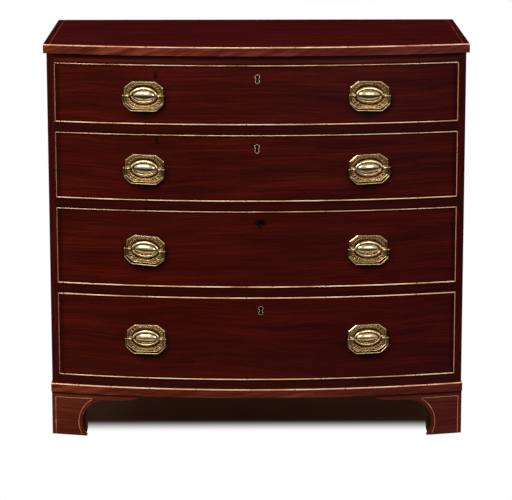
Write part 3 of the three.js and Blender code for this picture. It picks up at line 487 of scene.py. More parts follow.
line_front = float(bow_y(top_half - TOP_LINE_INSET * MM, top_front)) / MM + STRING
y_line = np.linspace(line_front, back_y / MM - TOP_LINE_STOP, TOP_LINE_STEPS)
for side, word in ((-1, "left"), (1, "right")):
    x_line = np.full(TOP_LINE_STEPS, side * (top_half / MM - TOP_LINE_INSET))
    end_boxwood = boxwood_material(f"boxwood_end_line_{word}", ("5a2414", "7c3a24", "9a5238"), 250, gloss=0.0)
    inlay(f"top_{word}_end_line", np.stack([x_line, y_line], 1), TOP_LINE_WIDTH, on_top, end_boxwood, "case")


# The carcass
# Two mahogany sides, a rail over and under each drawer, a bottom, and a back of wide pine
# boards. The rails are of mahogany in front and pine behind, and each is faced with a veneer.
VENEER, VENEER_SEAT, VENEER_ARRIS, VENEER_END = 0.25, 0.4, 0.2, 0.3
RAIL_REACH = 45
SIDE_THICKNESS, SIDE_SKIN = 18, 0.05
CARCASS_ARRIS, RAIL_ARRIS = 0.5, 0.3
DRAWER_GAP = 0.8
BACK_BOARDS = 4
MAHOGANY_TONES = ("220504", "3a0b07", "57160e")
PINE_TONES = ("5c4028", "7a5838", "967048")
BARE_PINE = (PINE_TONES, 0.75)
RAIL_TONES = ("1d0403", "300906", "420f0a")
SIDE_WOOD = {"tones": ("1e0503", "310905", "46100a"), "across": "Y", "streak": 3.0}
BACK_WOOD = {"tones": PINE_TONES, "roughness": 0.8, "streak": 7.0, "gloss": 0.15, "contrast": 0.8,
             "wave": 0.03}
# The blocks' dark tones are painted shade for the recess behind the feet's facings.
BLOCK_WOOD = {"tones": ("20120a", "352010", "54381e"), "roughness": 0.8, "streak": 7.0, "contrast": 0.8}
FULL_WIDTH = 9000
# Painted shade on the veneers: a black band for the shadow under the top and a dark line along each bead. The
# joints' grime is real dirt on the back.
TOP_PAINTED_SHADOW, BEAD_PAINTED_SHADE, JOINT_GRIME = (14, 0.85), (5.5, 0.6), (3.0, 0.6)

# French polished mahogany, red in front and darker on the sides, whose inner faces are bare pine.
mahogany = wood("french_polished_mahogany", MAHOGANY_TONES, warmth=1.0)
inner_face = case_half - (SIDE_THICKNESS - SIDE_SKIN) * MM
mahogany_side = wood("french_polished_mahogany_sides", other=(0, inner_face, True, *BARE_PINE), **SIDE_WOOD)
rail_back = float(bow_y(case_half - SIDE_THICKNESS * MM)) + RAIL_REACH * MM
mahogany_rail = wood("mahogany_rail_on_pine", RAIL_TONES, other=(1, rail_back, False, *BARE_PINE))

# Their veneers carry painted shade: a black band for the shadow under the top's overhang, and a dark line for
# the shade along each bead.
frieze_low, frieze_high = [corner[2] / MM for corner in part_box("top_rail")]
frieze_veneer = wood("mahogany_frieze_veneer", ("2e0a08", "47130e", "631d14"), warmth=1.0, stains_and_shade=[
    (0, frieze_high, FULL_WIDTH, *TOP_PAINTED_SHADOW), (0, frieze_low, FULL_WIDTH, *BEAD_PAINTED_SHADE)])
bead_edges = [corner[2] / MM for number in range(1, 5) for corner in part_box(f"drawer_{number}_cock_bead")]
# Dark lines along each bead's edges: painted shade.
rail_veneer = wood("mahogany_rail_veneer", RAIL_TONES, warmth=1.0,
                   stains_and_shade=[(0, edge, FULL_WIDTH, *BEAD_PAINTED_SHADE) for edge in bead_edges])

# Pine, never polished: dry and brown on the back, with dirt in the joints, and painted dark in the blocks
# behind the feet's facings, as shade.
board_joints = np.linspace(case_low[2], case_high[2], BACK_BOARDS + 1)[1:-1] / MM
joint_grime = [(0, z, FULL_WIDTH, *JOINT_GRIME) for z in board_joints]
pine = wood("bare_aged_pine_back", stains_and_shade=joint_grime, **BACK_WOOD)
shade_darkened_pine = wood("shade_darkened_pine_blocks", **BLOCK_WOOD)

WELD, SOLID_ANGLE = 0.01, 28


def dress(node, material, arris):
    """Gives a CAD piece its material and eased arrises. Its loose triangles are joined first."""
    piece = frame["nodes"][node]
    piece.data.materials.clear()
    piece.data.materials.append(material)
    weld = piece.modifiers.new("weld", "WELD")
    weld.merge_threshold = WELD * MM
    ease(piece, arris, SOLID_ANGLE)


dress("case_left_side", mahogany_side, CARCASS_ARRIS)
dress("case_right_side", mahogany_side, CARCASS_ARRIS)
dress("back_board", pine, CARCASS_ARRIS)


def slab(front, back):
    """A closed sheet between a front and a back grid of points, with walls round its rim."""
    rows, columns = front.shape[:2]
    index = np.arange(rows * columns).reshape(rows, columns)
    rim = np.concatenate([index[0, :-1], index[:-1, -1], index[-1, :0:-1], index[:0:-1, 0]])
    after = np.roll(rim, -1)
    behind = rows * columns
    walls = np.stack([rim, rim + behind, after + behind, after], 1).tolist()
    faces = net(rows, columns) + net(rows, columns, start=behind) + walls
    return np.vstack([front.reshape(-1, 3), back.reshape(-1, 3)]), faces


def bow_sheet(reach, steps, z, outside):
    """A veneer on the bow: places from end to end at each height, between two faces that follow
    the arc, one a little inside the wood and one a distance outside it."""
    across, up = np.meshgrid(np.linspace(-reach, reach, steps), z)
    return slab(*[np.stack([across, bow_y(across, out * MM), up], -1) for out in (outside, -VENEER_SEAT)])


# Each rail's veneer reaches up to just under the bead of the drawer over it.
rail_half = case_half - (SIDE_THICKNESS + VENEER_END) * MM
for over, rail in enumerate(("top_rail", "divider_1", "divider_2", "divider_3", "case_bottom")):
    dress(rail, mahogany_rail, RAIL_ARRIS)
    low, high = [corner[2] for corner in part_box(rail)]
    if over:
        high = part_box(f"drawer_{over}_cock_bead")[0][2] - DRAWER_GAP * MM
    sheet = bow_sheet(rail_half, BOW_STEPS, np.array([low, high]), VENEER)
    face = rail_veneer if over else frieze_veneer
    ease(make(f"{rail}_veneer", sheet, face, "case"), VENEER_ARRIS)


# The base moulding
# A flat band of paler, crossbanded mahogany, mitred round the front and both ends, that stands
# three millimetres proud of the carcass, with boxwood let into its front upper edge.
MOULDING_WIDTH = 45
MOULDING_PROJECTION = 3
MOULDING_WOOD = {"tones": ("3a120c", "561f16", "7a3629"), "ribbon": (0.7, 12), "warmth": 0.7}

moulding_low, moulding_high = [np.array(corner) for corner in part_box("base_moulding")]
moulding_half, moulding_top = moulding_high[0], moulding_high[2]
moulding_out = MOULDING_PROJECTION * MM


def moulding_line(inset, z):
    """The moulding's path from above at an inset: up one end, along the bow, down the other. The
    rebate for the boxwood is cut along the front alone, so its inset doesn't narrow the ends."""
    at_ends = 0.0 if inset == ledge else inset
    return at_height(plan(moulding_half - at_ends, moulding_out - inset, back_y), z)


# Crossbanded mahogany, worn paler than the carcass, its ribbons leaning a little to the right.
moulding_wood = wood("crossbanded_mahogany_base", **MOULDING_WOOD)
section = [(0, moulding_low[2]), (0, moulding_top - ledge), (ledge, moulding_top - ledge),
           (ledge, moulding_top), (MOULDING_WIDTH * MM, moulding_top), (MOULDING_WIDTH * MM, moulding_low[2])]
moulding_rings = np.stack([moulding_line(inset, z) for inset, z in section], 1)
base_band = make("base_band", stacked(moulding_rings), moulding_wood, "case",
                 ["base_moulding"])
ease(base_band, ARRIS)
# Boxwood that many feet have rubbed clean: the palest line on the chest.
base_boxwood = boxwood_material("boxwood_base_string", ("de9462", "ffc892", "ffdcb2"), length=111.111)
edge_string("base_string", moulding_half, moulding_out, moulding_top, base_boxwood, ["base_stringing"])


# The feet
# Bracket feet: shaped mahogany facings, mitred at the corner and glued to a pine block. The
# front ones are inlaid with a fine line. The rear ones have a plain bracket across the back.
FOOT_WIDTH, FOOT_WAIST, FOOT_WAIST_HEIGHT = 90, 78.5, 35
FOOT_WING, FOOT_WING_DEPTH, FOOT_SHOULDER = 225, 14, 145
FACING, FACING_STEPS, FACING_ARRIS = 18, 25, 0.7
FOOT_SETBACK = 1.5
REAR_BRACKET = 150
BLOCK_DEPTH, BLOCK_GAP, BLOCK_INSET, BLOCK_LIFT, BLOCK_ARRIS = 62, 0.3, 2, 2, 1.2
FOOT_LINE_EDGE, FOOT_LINE_DROP, FOOT_LINE_INSET, FOOT_LINE_START = 9.5, 12, 9.6, 0.4
FOOT_LINE_WIDTH, FOOT_LINE_STEPS = 1.2, (12, 14)
FOOT_LINE_TONES = ("8e5238", "ba7e56", "d8a07a")
# The feet's dark band under the moulding is painted shadow.
FOOT_TONES, FOOT_PAINTED_SHADOW = ("381009", "521f15", "6f3123"), (5.0, 0.85)
foot_low, foot_high = [np.array(corner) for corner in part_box("front_left_foot")]
foot_top = foot_high[2] / MM
foot_half = -foot_low[0]
foot_out = (MOULDING_PROJECTION - FOOT_SETBACK) * MM
# Crossbanded mahogany again, a shade redder, with a black line of painted shadow under the moulding.
foot_wood = wood("crossbanded_mahogany_feet", FOOT_TONES, warmth=0.4,
                 stains_and_shade=[(0, foot_top, FULL_WIDTH, *FOOT_PAINTED_SHADOW)])


def bezier(points, count):
    """A Bezier curve: lines between its control points are divided at a share again and again,
    until one point is left, for every share from start to end."""
    t = np.linspace(0, 1, count)[:, None]
    points = [np.array(p, float)[None, :] for p in points]
    while len(points) > 1:
        points = [a * (1 - t) + b * t for a, b in zip(points, points[1:])]
    return points[0]


def bracket_edge():
    """A bracket's inner edge, as width and height: flared at the floor, drawn in at the waist,
    then swept out to a thin wing under the moulding."""
    shoulder = foot_top - FOOT_WING_DEPTH
    half_rise = FOOT_WAIST_HEIGHT + (shoulder - FOOT_WAIST_HEIGHT) / 2
    bend = FOOT_WAIST + (FOOT_SHOULDER - FOOT_WAIST) / 3
    waist = (FOOT_WAIST, FOOT_WAIST_HEIGHT)
    lower = bezier([(FOOT_WIDTH, 0), (FOOT_WAIST, FOOT_WAIST_HEIGHT / 2), waist], 9)
    sweep = bezier([waist, (FOOT_WAIST, half_rise), (bend, shoulder), (FOOT_SHOULDER, shoulder)], 19)
    wing = bezier([(FOOT_SHOULDER, shoulder), (FOOT_WING, shoulder), (FOOT_WING, foot_top)], 15)
    return np.vstack([lower, sweep[1:], wing[1:]])


def straight_edge():
    """The rear bracket's inner edge, cut straight from the floor up to a short wing."""
    shoulder = foot_top - FOOT_WING_DEPTH
    return np.array([(FOOT_WIDTH, 0), (REAR_BRACKET, shoulder), (REAR_BRACKET, foot_top)], float)


def across_foot(side, is_front, width, z, depth):
    """A place on a cross facing: x runs in from the corner by the width, and y lies a depth
    inside the bow, or at the rear inside the back's plane."""
    x = foot_half - width * MM
    y = bow_y(x, foot_out - depth * MM) if is_front else np.full_like(x, back_y - depth * MM)
    return np.stack([side * x, y, z * MM], -1)


def along_foot(side, is_front, width, z, depth):
    """A place on an end facing: x lies a depth inside the end's plane, and y runs from the corner
    by the width, towards the middle of the chest."""
    corner = float(bow_y(foot_half, foot_out)) if is_front else back_y
    x = np.full_like(width, foot_half - depth * MM)
    return np.stack([side * x, corner + (width if is_front else -width) * MM, z * MM], -1)


def facing(edge, mapped, side, is_front):
    """A facing of one thickness: rows from the corner to the inner edge at every height of the
    edge, and the same rows behind, which start a thickness further in because of the mitre."""
    share = np.linspace(0, 1, FACING_STEPS)
    width, z = edge[:, :1], np.broadcast_to(edge[:, 1:], (len(edge), FACING_STEPS))
    return slab(mapped(side, is_front, width * share, z, 0),
                mapped(side, is_front, FACING + (width - FACING) * share, z, FACING))


def joined(shells):
    """Several closed shells as one list of points and one of faces."""
    points, faces = [], []
    for shell_points, shell_faces in shells:
        start = sum(len(p) for p in points)
        points.append(np.asarray(shell_points))
        faces += [[start + i for i in face] for face in shell_faces]
    return np.vstack(points), faces


def corner_block(side, is_front):
    """The block behind the facings: its outline runs along the cross facing's inner face, and it
    is as deep as the block on both sides, from just above the floor to just under the case."""
    near, far = FACING + BLOCK_GAP, FOOT_WIDTH - BLOCK_INSET
    width = np.array([near, far, far, near])
    x = foot_half - width * MM
    y = bow_y(x, foot_out - FACING * MM) if is_front else np.full(4, back_y - FACING * MM)
    y[2:] = y[1] + (1 if is_front else -1) * (BLOCK_DEPTH - FACING) * MM
    outline = np.stack([side * x, y], 1)
    heights = [BLOCK_LIFT * MM, foot_low[2] + (foot_top - BLOCK_GAP) * MM]
    return stacked(np.stack([at_height(outline, z) for z in heights]))


def foot_lines():
    """The inlay's three stretches, as width and height: up beside the corner, across under the
    moulding, and along the inner edge at an inset square to it."""
    level = foot_top - FOOT_LINE_DROP
    edge = bracket_edge()
    edge = edge[edge[:, 0] <= FOOT_SHOULDER + FOOT_LINE_WIDTH]
    tangent = np.gradient(edge, axis=0)
    tangent /= np.linalg.norm(tangent, axis=1)[:, None]
    inner = edge + np.stack([-tangent[:, 1], tangent[:, 0]], 1) * FOOT_LINE_INSET
    inner = inner[(inner[:, 1] > FOOT_LINE_START) & (inner[:, 1] < level)]
    heights = np.linspace(FOOT_LINE_START, level, FOOT_LINE_STEPS[0])
    widths = np.linspace(FOOT_LINE_EDGE, inner[-1, 0], FOOT_LINE_STEPS[1])
    return [np.stack([np.full_like(heights, FOOT_LINE_EDGE), heights], 1),
            np.stack([widths, np.full_like(widths, level)], 1), inner]


for side, hand in ((-1, "left"), (1, "right")):
    for is_front, end in ((True, "front"), (False, "rear")):
        name = f"{end}_{hand}_foot"
        cross = facing(bracket_edge() if is_front else straight_edge(), across_foot, side, is_front)
        flank = facing(bracket_edge(), along_foot, side, is_front)
        foot = make(f"{name}_facings", joined([cross, flank]), foot_wood, "case", [name])
        ease(foot, FACING_ARRIS)
        ease(make(f"{name}_block", corner_block(side, is_front), shade_darkened_pine, "case"), BLOCK_ARRIS)
        if is_front:
            # Fine boxwood, browned by polish that has gathered on it.
            line_wood = boxwood_material(f"boxwood_{name}_line", FOOT_LINE_TONES, length=166.667)
            for number, stretch in enumerate(foot_lines()):
                inlay(f"{name}_line_{number + 1}", stretch, FOOT_LINE_WIDTH,
                      lambda line, out: across_foot(side, True, line[:, 0], line[:, 1], -out),
                      line_wood, "case")


# Drawers: linings and fronts
# Each drawer is dovetailed up in oak behind a thick mahogany front. The front's face is a sheet
# of one figured veneer, with painted shade along the bead, and a brass thread lines its keyhole.
OAK = {"tones": ("7c5a36", "9a7448", "b8935e"), "roughness": 0.72, "gloss": 0.25}
FRONT_ARRIS, LINING_ARRIS, BOTTOM_ARRIS, LOCK_ARRIS = 0.4, 0.6, 0.4, 0.3
VENEER_EDGE, FRONT_VENEER, FRONT_STEPS = 1.5, 0.15, (141, 4)
KEYHOLE_DROP, KEYHOLE_HEIGHT, KEYHOLE_AXIS = 34, 21.2, 24
KEYHOLE_HEAD, KEYHOLE_SLOT, KEYHOLE_FOOT, KEYHOLE_STEPS = 5.5, 7.0, 4.9, 26
THREAD_INSIDE, THREAD_OUTSIDE, THREAD_ROUNDING = -0.5, 0.9, 0.4
THREAD_DEPTH, THREAD_SIDE, THREAD_CREST, THREAD_SEAT = -6.0, 0.35, 0.7, 0.1
CUTTER_REACH = 4
BARE_KEYHOLE = 3
DRAWER_WOOD = [
    {"slope": -0.5, "wave": 0.05, "contrast": 1.15},
    {"slope": 0.8, "wave": 0.05, "contrast": 1.2},
    {"slope": 1.5, "wave": 0.06, "contrast": 1.0},
    {"slope": 1.0, "wave": 0.09, "contrast": 1.0}]
FLECKS = [(-249, 47, 7, 12, 0.7), (-248, 68, 7, 12, 0.7), (9, 69, 19, 12, 0.85), (-180, -60, 30, 8, 0.4)]
# Painted shadow below and to the right of each handle plate, and painted shade beside the upright beads at
# both ends.
HANDLE_PAINTED_SHADOW = {"spread": 279, "right": 3, "down": 14, "oval": (67, 57, 0.95)}
END_PAINTED_SHADE = (17, 900, 0.5)

# Planed oak, never polished: straight pale grain, dull, and upright or lying as it is cut.
oak = wood("planed_oak_linings", streak=3.0, **OAK)
oak_across = wood("planed_oak_bottom", across="Y", streak=4.0, **OAK)

RUST_SIZE, RUST_TONES = 2.38095, ("120a06", "20120c", "33231a")
TARNISH_SIZE, GRIT_SIZE = 7.6923, 1.11111
TARNISH_SHARE, TARNISH_START = 0.9, -0.42
BRASS_RELIEF = {"Strength": 0.15, "Distance": 0.2 * MM}


def iron_material():
    """Wrought iron lock case, filed and gone dull: grey brown with rust freckles, from one noise."""
    material, tree, place = new_material("dull_iron")
    freckles = add(tree, "TexNoise", {"Vector": place, "Scale": 1 / (RUST_SIZE * MM), "Detail": 4.0})
    colour = add(tree, "ValToRGB", {"Fac": freckles}, stops=list(zip((0.35, 0.55, 0.7), RUST_TONES)))
    rough = add(tree, "MapRange", {"Value": freckles, "To Min": 0.8, "To Max": 0.6})
    shader = add(tree, "BsdfPrincipled", {"Base Color": colour, "Metallic": 0.6, "Roughness": rough})
    add(tree, "OutputMaterial", {"Surface": shader})
    return material


def brass_material(name, tones):
    """Pressed sheet brass, lacquer long gone: rubbed bright on what stands up, brown in the
    hollows and in the painted shade round a plate's boss, with a cloudy tarnish between. The hollows
    and that shade come from the mesh's own attribute, and a broad noise is added to them. A grit of fine
    scratches is drawn as coarse as it needs to show."""
    material, tree, place = new_material(name)
    hollow = add(tree, "Attribute", attribute_name="hollow").outputs["Fac"]
    cloud = add(tree, "TexNoise", {"Vector": place, "Scale": 1 / (TARNISH_SIZE * MM), "Detail": 5.0,
                                   "Roughness": 0.6})
    grit = add(tree, "TexNoise", {"Vector": place, "Scale": 1 / (GRIT_SIZE * MM), "Detail": 2.0})
    soiled = add(tree, "Math", {0: cloud, 1: TARNISH_SHARE, 2: TARNISH_START}, operation="MULTIPLY_ADD")
    soiled = add(tree, "Math", {0: hollow, 1: soiled})
    colour = add(tree, "ValToRGB", {"Fac": soiled}, stops=list(zip((0.0, 0.22, 0.75), tones)))
    rough = add(tree, "MapRange", {"Value": soiled, "To Min": 0.17, "To Max": 0.6})
    bump = add(tree, "Bump", {"Height": grit, **BRASS_RELIEF})
    shader = add(tree, "BsdfPrincipled", {"Base Color": colour, "Metallic": 1.0, "Roughness": rough,
                                          "Normal": bump})
    add(tree, "OutputMaterial", {"Surface": shader})
    return material


def set_hollow(piece, values):
    """Stores how deep in a hollow each point of a brass piece lies, with any painted shade added, for its
    material.
    """
    piece.data.attributes.new("hollow", "FLOAT", "POINT").data.foreach_set("value", values.astype(np.float32))


iron = iron_material()
# Rolled brass strip, paler than the plates because keys and fingers keep it rubbed.
rubbed_brass = brass_material("rubbed_brass_thread", ("e8ccb0", "a88868", "2c1810"))


def keyhole(grow):
    """A keyhole's outline grown by a distance: most of a circle over most of a smaller one, each
    open where its half chord is half the slot's width, so that the slot's sides join the two."""
    slot = KEYHOLE_SLOT / 2 + grow
    arcs = []
    for radius, height, opening in ((KEYHOLE_HEAD, KEYHOLE_HEIGHT / 2 - KEYHOLE_HEAD, -math.pi / 2),
                                    (KEYHOLE_FOOT, KEYHOLE_FOOT - KEYHOLE_HEIGHT / 2, math.pi / 2)):
        half_gap = math.asin(slot / (radius + grow))
        turn = np.linspace(opening + half_gap, opening + 2 * math.pi - half_gap, KEYHOLE_STEPS)
        arcs.append(np.stack([np.cos(turn), np.sin(turn)], 1) * (radius + grow) + (0, height))
    return np.vstack(arcs)


def on_bow(outline, angle, height, out):
    """Points given across and up on a flat that touches the bow at an angle, at a distance out."""
    radius = bow_radius + out * MM
    x = radius * math.sin(angle) + outline[:, 0] * MM * math.cos(angle)
    y = bow_centre - radius * math.cos(angle) + outline[:, 0] * MM * math.sin(angle)
    return np.column_stack([x, y, height + outline[:, 1] * MM])


def settle(piece):
    """Applies a piece's modifiers to its mesh."""
    depsgraph = bpy.context.evaluated_depsgraph_get()
    mesh = bpy.data.meshes.new_from_object(piece.evaluated_get(depsgraph))
    piece.modifiers.clear()
    piece.data = mesh


def bow_normals(piece):
    """Gives each face that looks out of the bow the bow's own normals, along its radius, so that
    the shading runs unbroken past the keyhole. The other faces keep their flat normals."""
    mesh = piece.data
    corners = read(mesh.loops, "vertex_index", 1, np.int32).ravel()
    sides = read(mesh.polygons, "loop_total", 1, np.int32).ravel()
    flat = np.repeat(read(mesh.polygons, "normal", 3), sides, axis=0)
    out = (read(mesh.vertices, "co", 3)[corners] - (0, bow_centre, 0)) * (1, 1, 0)
    out /= np.linalg.norm(out, axis=1, keepdims=True)
    outward = np.sum(flat * out, axis=1, keepdims=True) > 0.9
    mesh.normals_split_custom_set(np.where(outward, out, flat).tolist())


drawers = []
for number in range(1, 5):
    name = f"drawer_{number}"
    bottom, top_z = [corner[2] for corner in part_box(f"{name}_cock_bead")]
    drawers.append({"name": name, "low": bottom, "high": top_z})
    for part, lining, arris in (
            ("front", mahogany, FRONT_ARRIS), ("left_side", oak, LINING_ARRIS),
            ("right_side", oak, LINING_ARRIS), ("back", oak, LINING_ARRIS),
            ("bottom", oak_across, BOTTOM_ARRIS), ("lock", iron, LOCK_ARRIS)):
        dress(f"{name}_{part}", lining, arris)

    # Figured mahogany, French polished: streaks of wine and orange, a painted black shadow round and
    # below the handles, painted shade along the beads and beside the upright ends, and a dark fleck or two of
    # its own.
    edge = VENEER_EDGE * MM
    middle = (bottom + top_z) / 2 / MM
    x, up, half_x, half_z, share = FLECKS[number - 1]
    stains_and_shade = [(side * HANDLE_PAINTED_SHADOW["spread"] + HANDLE_PAINTED_SHADOW["right"], middle - HANDLE_PAINTED_SHADOW["down"],
               *HANDLE_PAINTED_SHADOW["oval"]) for side in (-1, 1)]
    stains_and_shade += [(0, height / MM, FULL_WIDTH, *BEAD_PAINTED_SHADE) for height in (bottom + edge, top_z - edge)]
    stains_and_shade += [(side * drawer_half / MM, middle, *END_PAINTED_SHADE) for side in (-1, 1)]
    stains_and_shade += [(x, middle + up, half_x, half_z, share)]
    figured = wood(f"figured_mahogany_{number}", MAHOGANY_TONES, warmth=1.0, stains_and_shade=stains_and_shade,
                   **DRAWER_WOOD[number - 1])
    heights = bottom + edge + (top_z - bottom - 2 * edge) * np.linspace(0, 1, FRONT_STEPS[1])
    sheet = bow_sheet(drawer_half - edge, FRONT_STEPS[0], heights, FRONT_VENEER)
    veneer = make(f"{name}_veneer", sheet, figured, name)

    # The keyhole is cut through the veneer, and all but one of the four have a thread of brass.
    lock_low, lock_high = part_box(f"{name}_lock")
    key_angle = math.asin(float(lock_low[0] + lock_high[0]) / 2 / (bow_radius - KEYHOLE_AXIS * MM))
    key_height = top_z - KEYHOLE_DROP * MM
    lined = number != BARE_KEYHOLE
    opening = keyhole(THREAD_OUTSIDE - THREAD_SEAT if lined else 0.0)
    cut = np.stack([on_bow(opening, key_angle, key_height, out) for out in (-CUTTER_REACH, CUTTER_REACH)])
    cutter = make("keyhole_cutter", stacked(cut), mahogany, name)
    hole = veneer.modifiers.new("keyhole", "BOOLEAN")
    hole.object = cutter
    hole.operation = "DIFFERENCE"
    hole.solver = "EXACT"
    settle(veneer)
    bow_normals(veneer)
    bpy.data.objects.remove(cutter)
    if lined:
        rings = [(THREAD_INSIDE, THREAD_DEPTH), (THREAD_OUTSIDE, THREAD_DEPTH),
                 (THREAD_OUTSIDE, THREAD_SIDE), (THREAD_OUTSIDE - THREAD_ROUNDING, THREAD_CREST),
                 (THREAD_INSIDE + THREAD_ROUNDING, THREAD_CREST), (THREAD_INSIDE, THREAD_SIDE)]
        loops = np.stack([on_bow(keyhole(grow), key_angle, key_height, out) for grow, out in rings])
        shell = loops.reshape(-1, 3), net(len(rings), loops.shape[1], closed_rows=True, closed_columns=True)
        thread = make(f"{name}_keyhole_thread", shell, rubbed_brass, name)
        set_hollow(thread, np.repeat([float(out < 0) for _, out in rings], loops.shape[1]))


# Cock beads
# Each front is edged with a thin boxwood bead, mitred at the corners and rounded on its edge,
# that stands a little proud. Two centuries of use have worn it thin and chipped it in places.
LOWER_BEADS, UPPER_BEADS, UPRIGHT_WIDTH = (2.6, 2.6, 3.0, 2.6), (1.6, 1.6, 1.6, 2.8), 1.9
BEAD_DEPTH, BEAD_PROUD, BEAD_TURNS, BEAD_STEPS = 10.0, 1.1, 9, (180, 30)
WEAR_DEPTH, WEAR_START, WEAR_MOST, WEAR_SPREAD = 0.35, 0.5, 1.6, 25
CHIPS, CHIP_DEPTH = 5, 0.9
BEAD_SEED = 7
# Boxwood, the rounded edge rubbed pale and golden, the upright lengths dull and brown.
bead_wood = boxwood_material("boxwood_bead", ("c08256", "f8c094", "ffdcb8"), length=200, dull=0.86)


def bead_shell(low, high, lower, upper, seed):
    """A ring swept round the drawer's front: at each place on the way round, a section that is
    square behind and half round in front, lowered by slow wear and by a few short chips. The
    lower, the upper and the upright lengths are each worn to a thickness of their own."""
    rng = np.random.default_rng(seed)
    x, z = [np.linspace(-1, 1, count, endpoint=False) for count in BEAD_STEPS]
    side_of = np.repeat([0, 1, 2, 3], BEAD_STEPS * 2)
    along = np.concatenate([x, z, -x, -z])
    wave = rng.normal(size=len(along))
    lap = WEAR_SPREAD // 2
    window = np.hanning(WEAR_SPREAD)
    wave = np.convolve(np.concatenate([wave[-lap:], wave, wave[:lap]]), window / window.sum(), "valid")
    worn = WEAR_DEPTH * np.clip(WEAR_START + wave, 0, WEAR_MOST)
    worn[rng.integers(0, len(along), CHIPS)] += CHIP_DEPTH
    turn = np.linspace(0, math.pi, BEAD_TURNS)
    rounding = zip((1 - np.cos(turn)) / 2, BEAD_PROUD * np.sin(turn))
    section = [(0.0, -BEAD_DEPTH), *rounding, (1.0, -BEAD_DEPTH)]
    rings = []
    for share, out in section:
        reach = drawer_half - share * UPRIGHT_WIDTH * MM
        bottom, top_z = low + share * lower * MM, high - share * upper * MM
        middle, rise = (bottom + top_z) / 2, (top_z - bottom) / 2
        px = np.select([side_of % 2 == 0, side_of == 1], [along * reach, reach], -reach)
        pz = np.select([side_of == 0, side_of == 2], [bottom, top_z], middle + along * rise)
        stand = np.maximum(out - worn * out / BEAD_PROUD, 0.0) if out > 0 else out
        rings.append(np.stack([px, bow_y(px, stand * MM), pz], 1))
    rings = np.stack(rings, 1)
    return rings.reshape(-1, 3), net(len(along), len(section), closed_rows=True, closed_columns=True)


for number, drawer in enumerate(drawers):
    name = drawer["name"]
    shell = bead_shell(drawer["low"], drawer["high"], LOWER_BEADS[number], UPPER_BEADS[number],
                       BEAD_SEED + number)
    make(f"{name}_bead", shell, bead_wood, name, [f"{name}_cock_bead"], smooth=50)


# Handle plates
# Thin brass pressed into an eight-sided plate with a raised rim, a line and small punched
# leaves in the corners, and an oval boss: a broad smooth ring, a groove and a long dome. Two
# turned posts go through it and the drawer front to square nuts inside.
PLATE = {"width": 97, "height": 70, "top_flat": 58, "side_flat": 40}
PLATE_STEPS = [34, 32, 52, 32, 34, 32, 52, 32]
BOSS, DOME = (35.5, 22.5), (28.0, 13.2)
PLATE_BACK, SHEET_METAL, BACK_SHARE = 0.2, 0.35, 0.6
FIELD_RISE, FIELD_CLIMB, FIELD_STEPS = 1.1, 1.5, 64
DOME_RISE, DOME_START, DOME_FULLNESS, DOME_STEPS = 7.5, 0.06, 0.6, 26
GROOVE_RISE, GROOVE_SHARE = 1.6, 0.06
RING_RISE, CREST_SHARE, RING_FULLNESS, RING_STEPS = 5.2, 0.34, 0.7, (12, 20)
RIM_PROFILE = [(0.0, 0.0), (0.7, 0.0), (0.755, -0.75), (0.81, 0.0), (0.85, 0.7), (0.89, 0.75), (1.0, -0.5)]
BEADED_LINE = {"at": 0.44, "width": 0.03, "rise": 0.4, "beads": 60, "depth": 0.4}
FLUTES = {"start": 0.08, "end": 0.36, "rise": 0.34, "count": 36}
PITS = [(34.6, 20.4, 2.2), (27.0, 26.0, 2.0), (31.0, 23.4, 1.2), (38.6, 14.6, 1.5), (20.6, 28.0, 1.5)]
PIT_DEPTH, PIT_LIP, PIT_LIP_SIZE = 1.6, 0.35, 2.0
# The darkened foot of the boss is painted shade; the field's soil is tarnish.
FIELD_SOIL, SOIL_END, BOSS_PAINTED_SHADE, RING_SHADE_WIDTH, FIELD_SHADE_WIDTH = 0.18, 0.75, 0.8, 0.16, 0.12
SUNK_REACH, SUNK_DEPTH, LOW_DEPTH, LOW_SHARE = 4, 0.35, 0.9, 0.35
POST_X, PIVOT = 39.5, 10.0
POST_BALL, POST_NECK, POST_GRIME = 4.4, 3.2, {"top": 3.4, "depth": 1.6, "share": 0.55}
NUT, NUT_THICKNESS, NUT_SEAT, NUT_STEPS, NUT_CORNER = 11.0, 4.0, 25.1, 48, 0.35
NUT_LEVELS = [(0.88, 0), (1.0, 0.5), (1.0, NUT_THICKNESS - 0.9), (0.84, NUT_THICKNESS)]
SHANK_END, SHANK_TAPER = -NUT_SEAT - 6, -NUT_SEAT - 5.4
SHANK_PROFILE = [(0, SHANK_END), (1.7, SHANK_END), (2.3, SHANK_TAPER), (2.3, 1.2), (0, 1.2)]
POST_FOOT = [(0, 1.0), (5.6, 1.0), (5.8, 1.9), (5.2, 2.7), (3.6, 3.1), (2.9, 4.2), (2.8, 5.2), (3.4, 5.9)]
# Thin sheet brass, gone yellow brown, bright on the dome and the rim.
brass = brass_material("aged_pressed_brass", ("c0aa82", "8e6e42", "261504"))


def plate_edge():
    """Points round the plate's outline, from corner to corner, closer together on short sides."""
    w, h = PLATE["width"] / 2, PLATE["height"] / 2
    u, v = PLATE["top_flat"] / 2, PLATE["side_flat"] / 2
    corners = np.array([(w, -v), (w, v), (u, h), (-u, h), (-w, v), (-w, -v), (-u, -h), (u, -h)])
    return np.vstack([np.linspace(start, end, steps, endpoint=False)
                      for start, end, steps in zip(corners, np.roll(corners, -1, axis=0), PLATE_STEPS)])


def bump_at(value, centre, width):
    """A smooth bump of height one at a centre, that dies away over a width."""
    return np.exp(-((value - centre) / width) ** 2)


def tipped(rings, first, last):
    """A closed solid: a wall from each ring of points to the next, and each end drawn to a tip."""
    levels, count = rings.shape[:2]
    total = levels * count
    here = np.arange(count)
    after = (here + 1) % count
    tips = [np.stack([after, here, np.full(count, total)], 1),
            np.stack([total - count + here, total - count + after, np.full(count, total + 1)], 1)]
    points = np.vstack([rings.reshape(-1, 3), [first, last]])
    return points, net(levels, count, closed_columns=True) + np.vstack(tips).tolist()


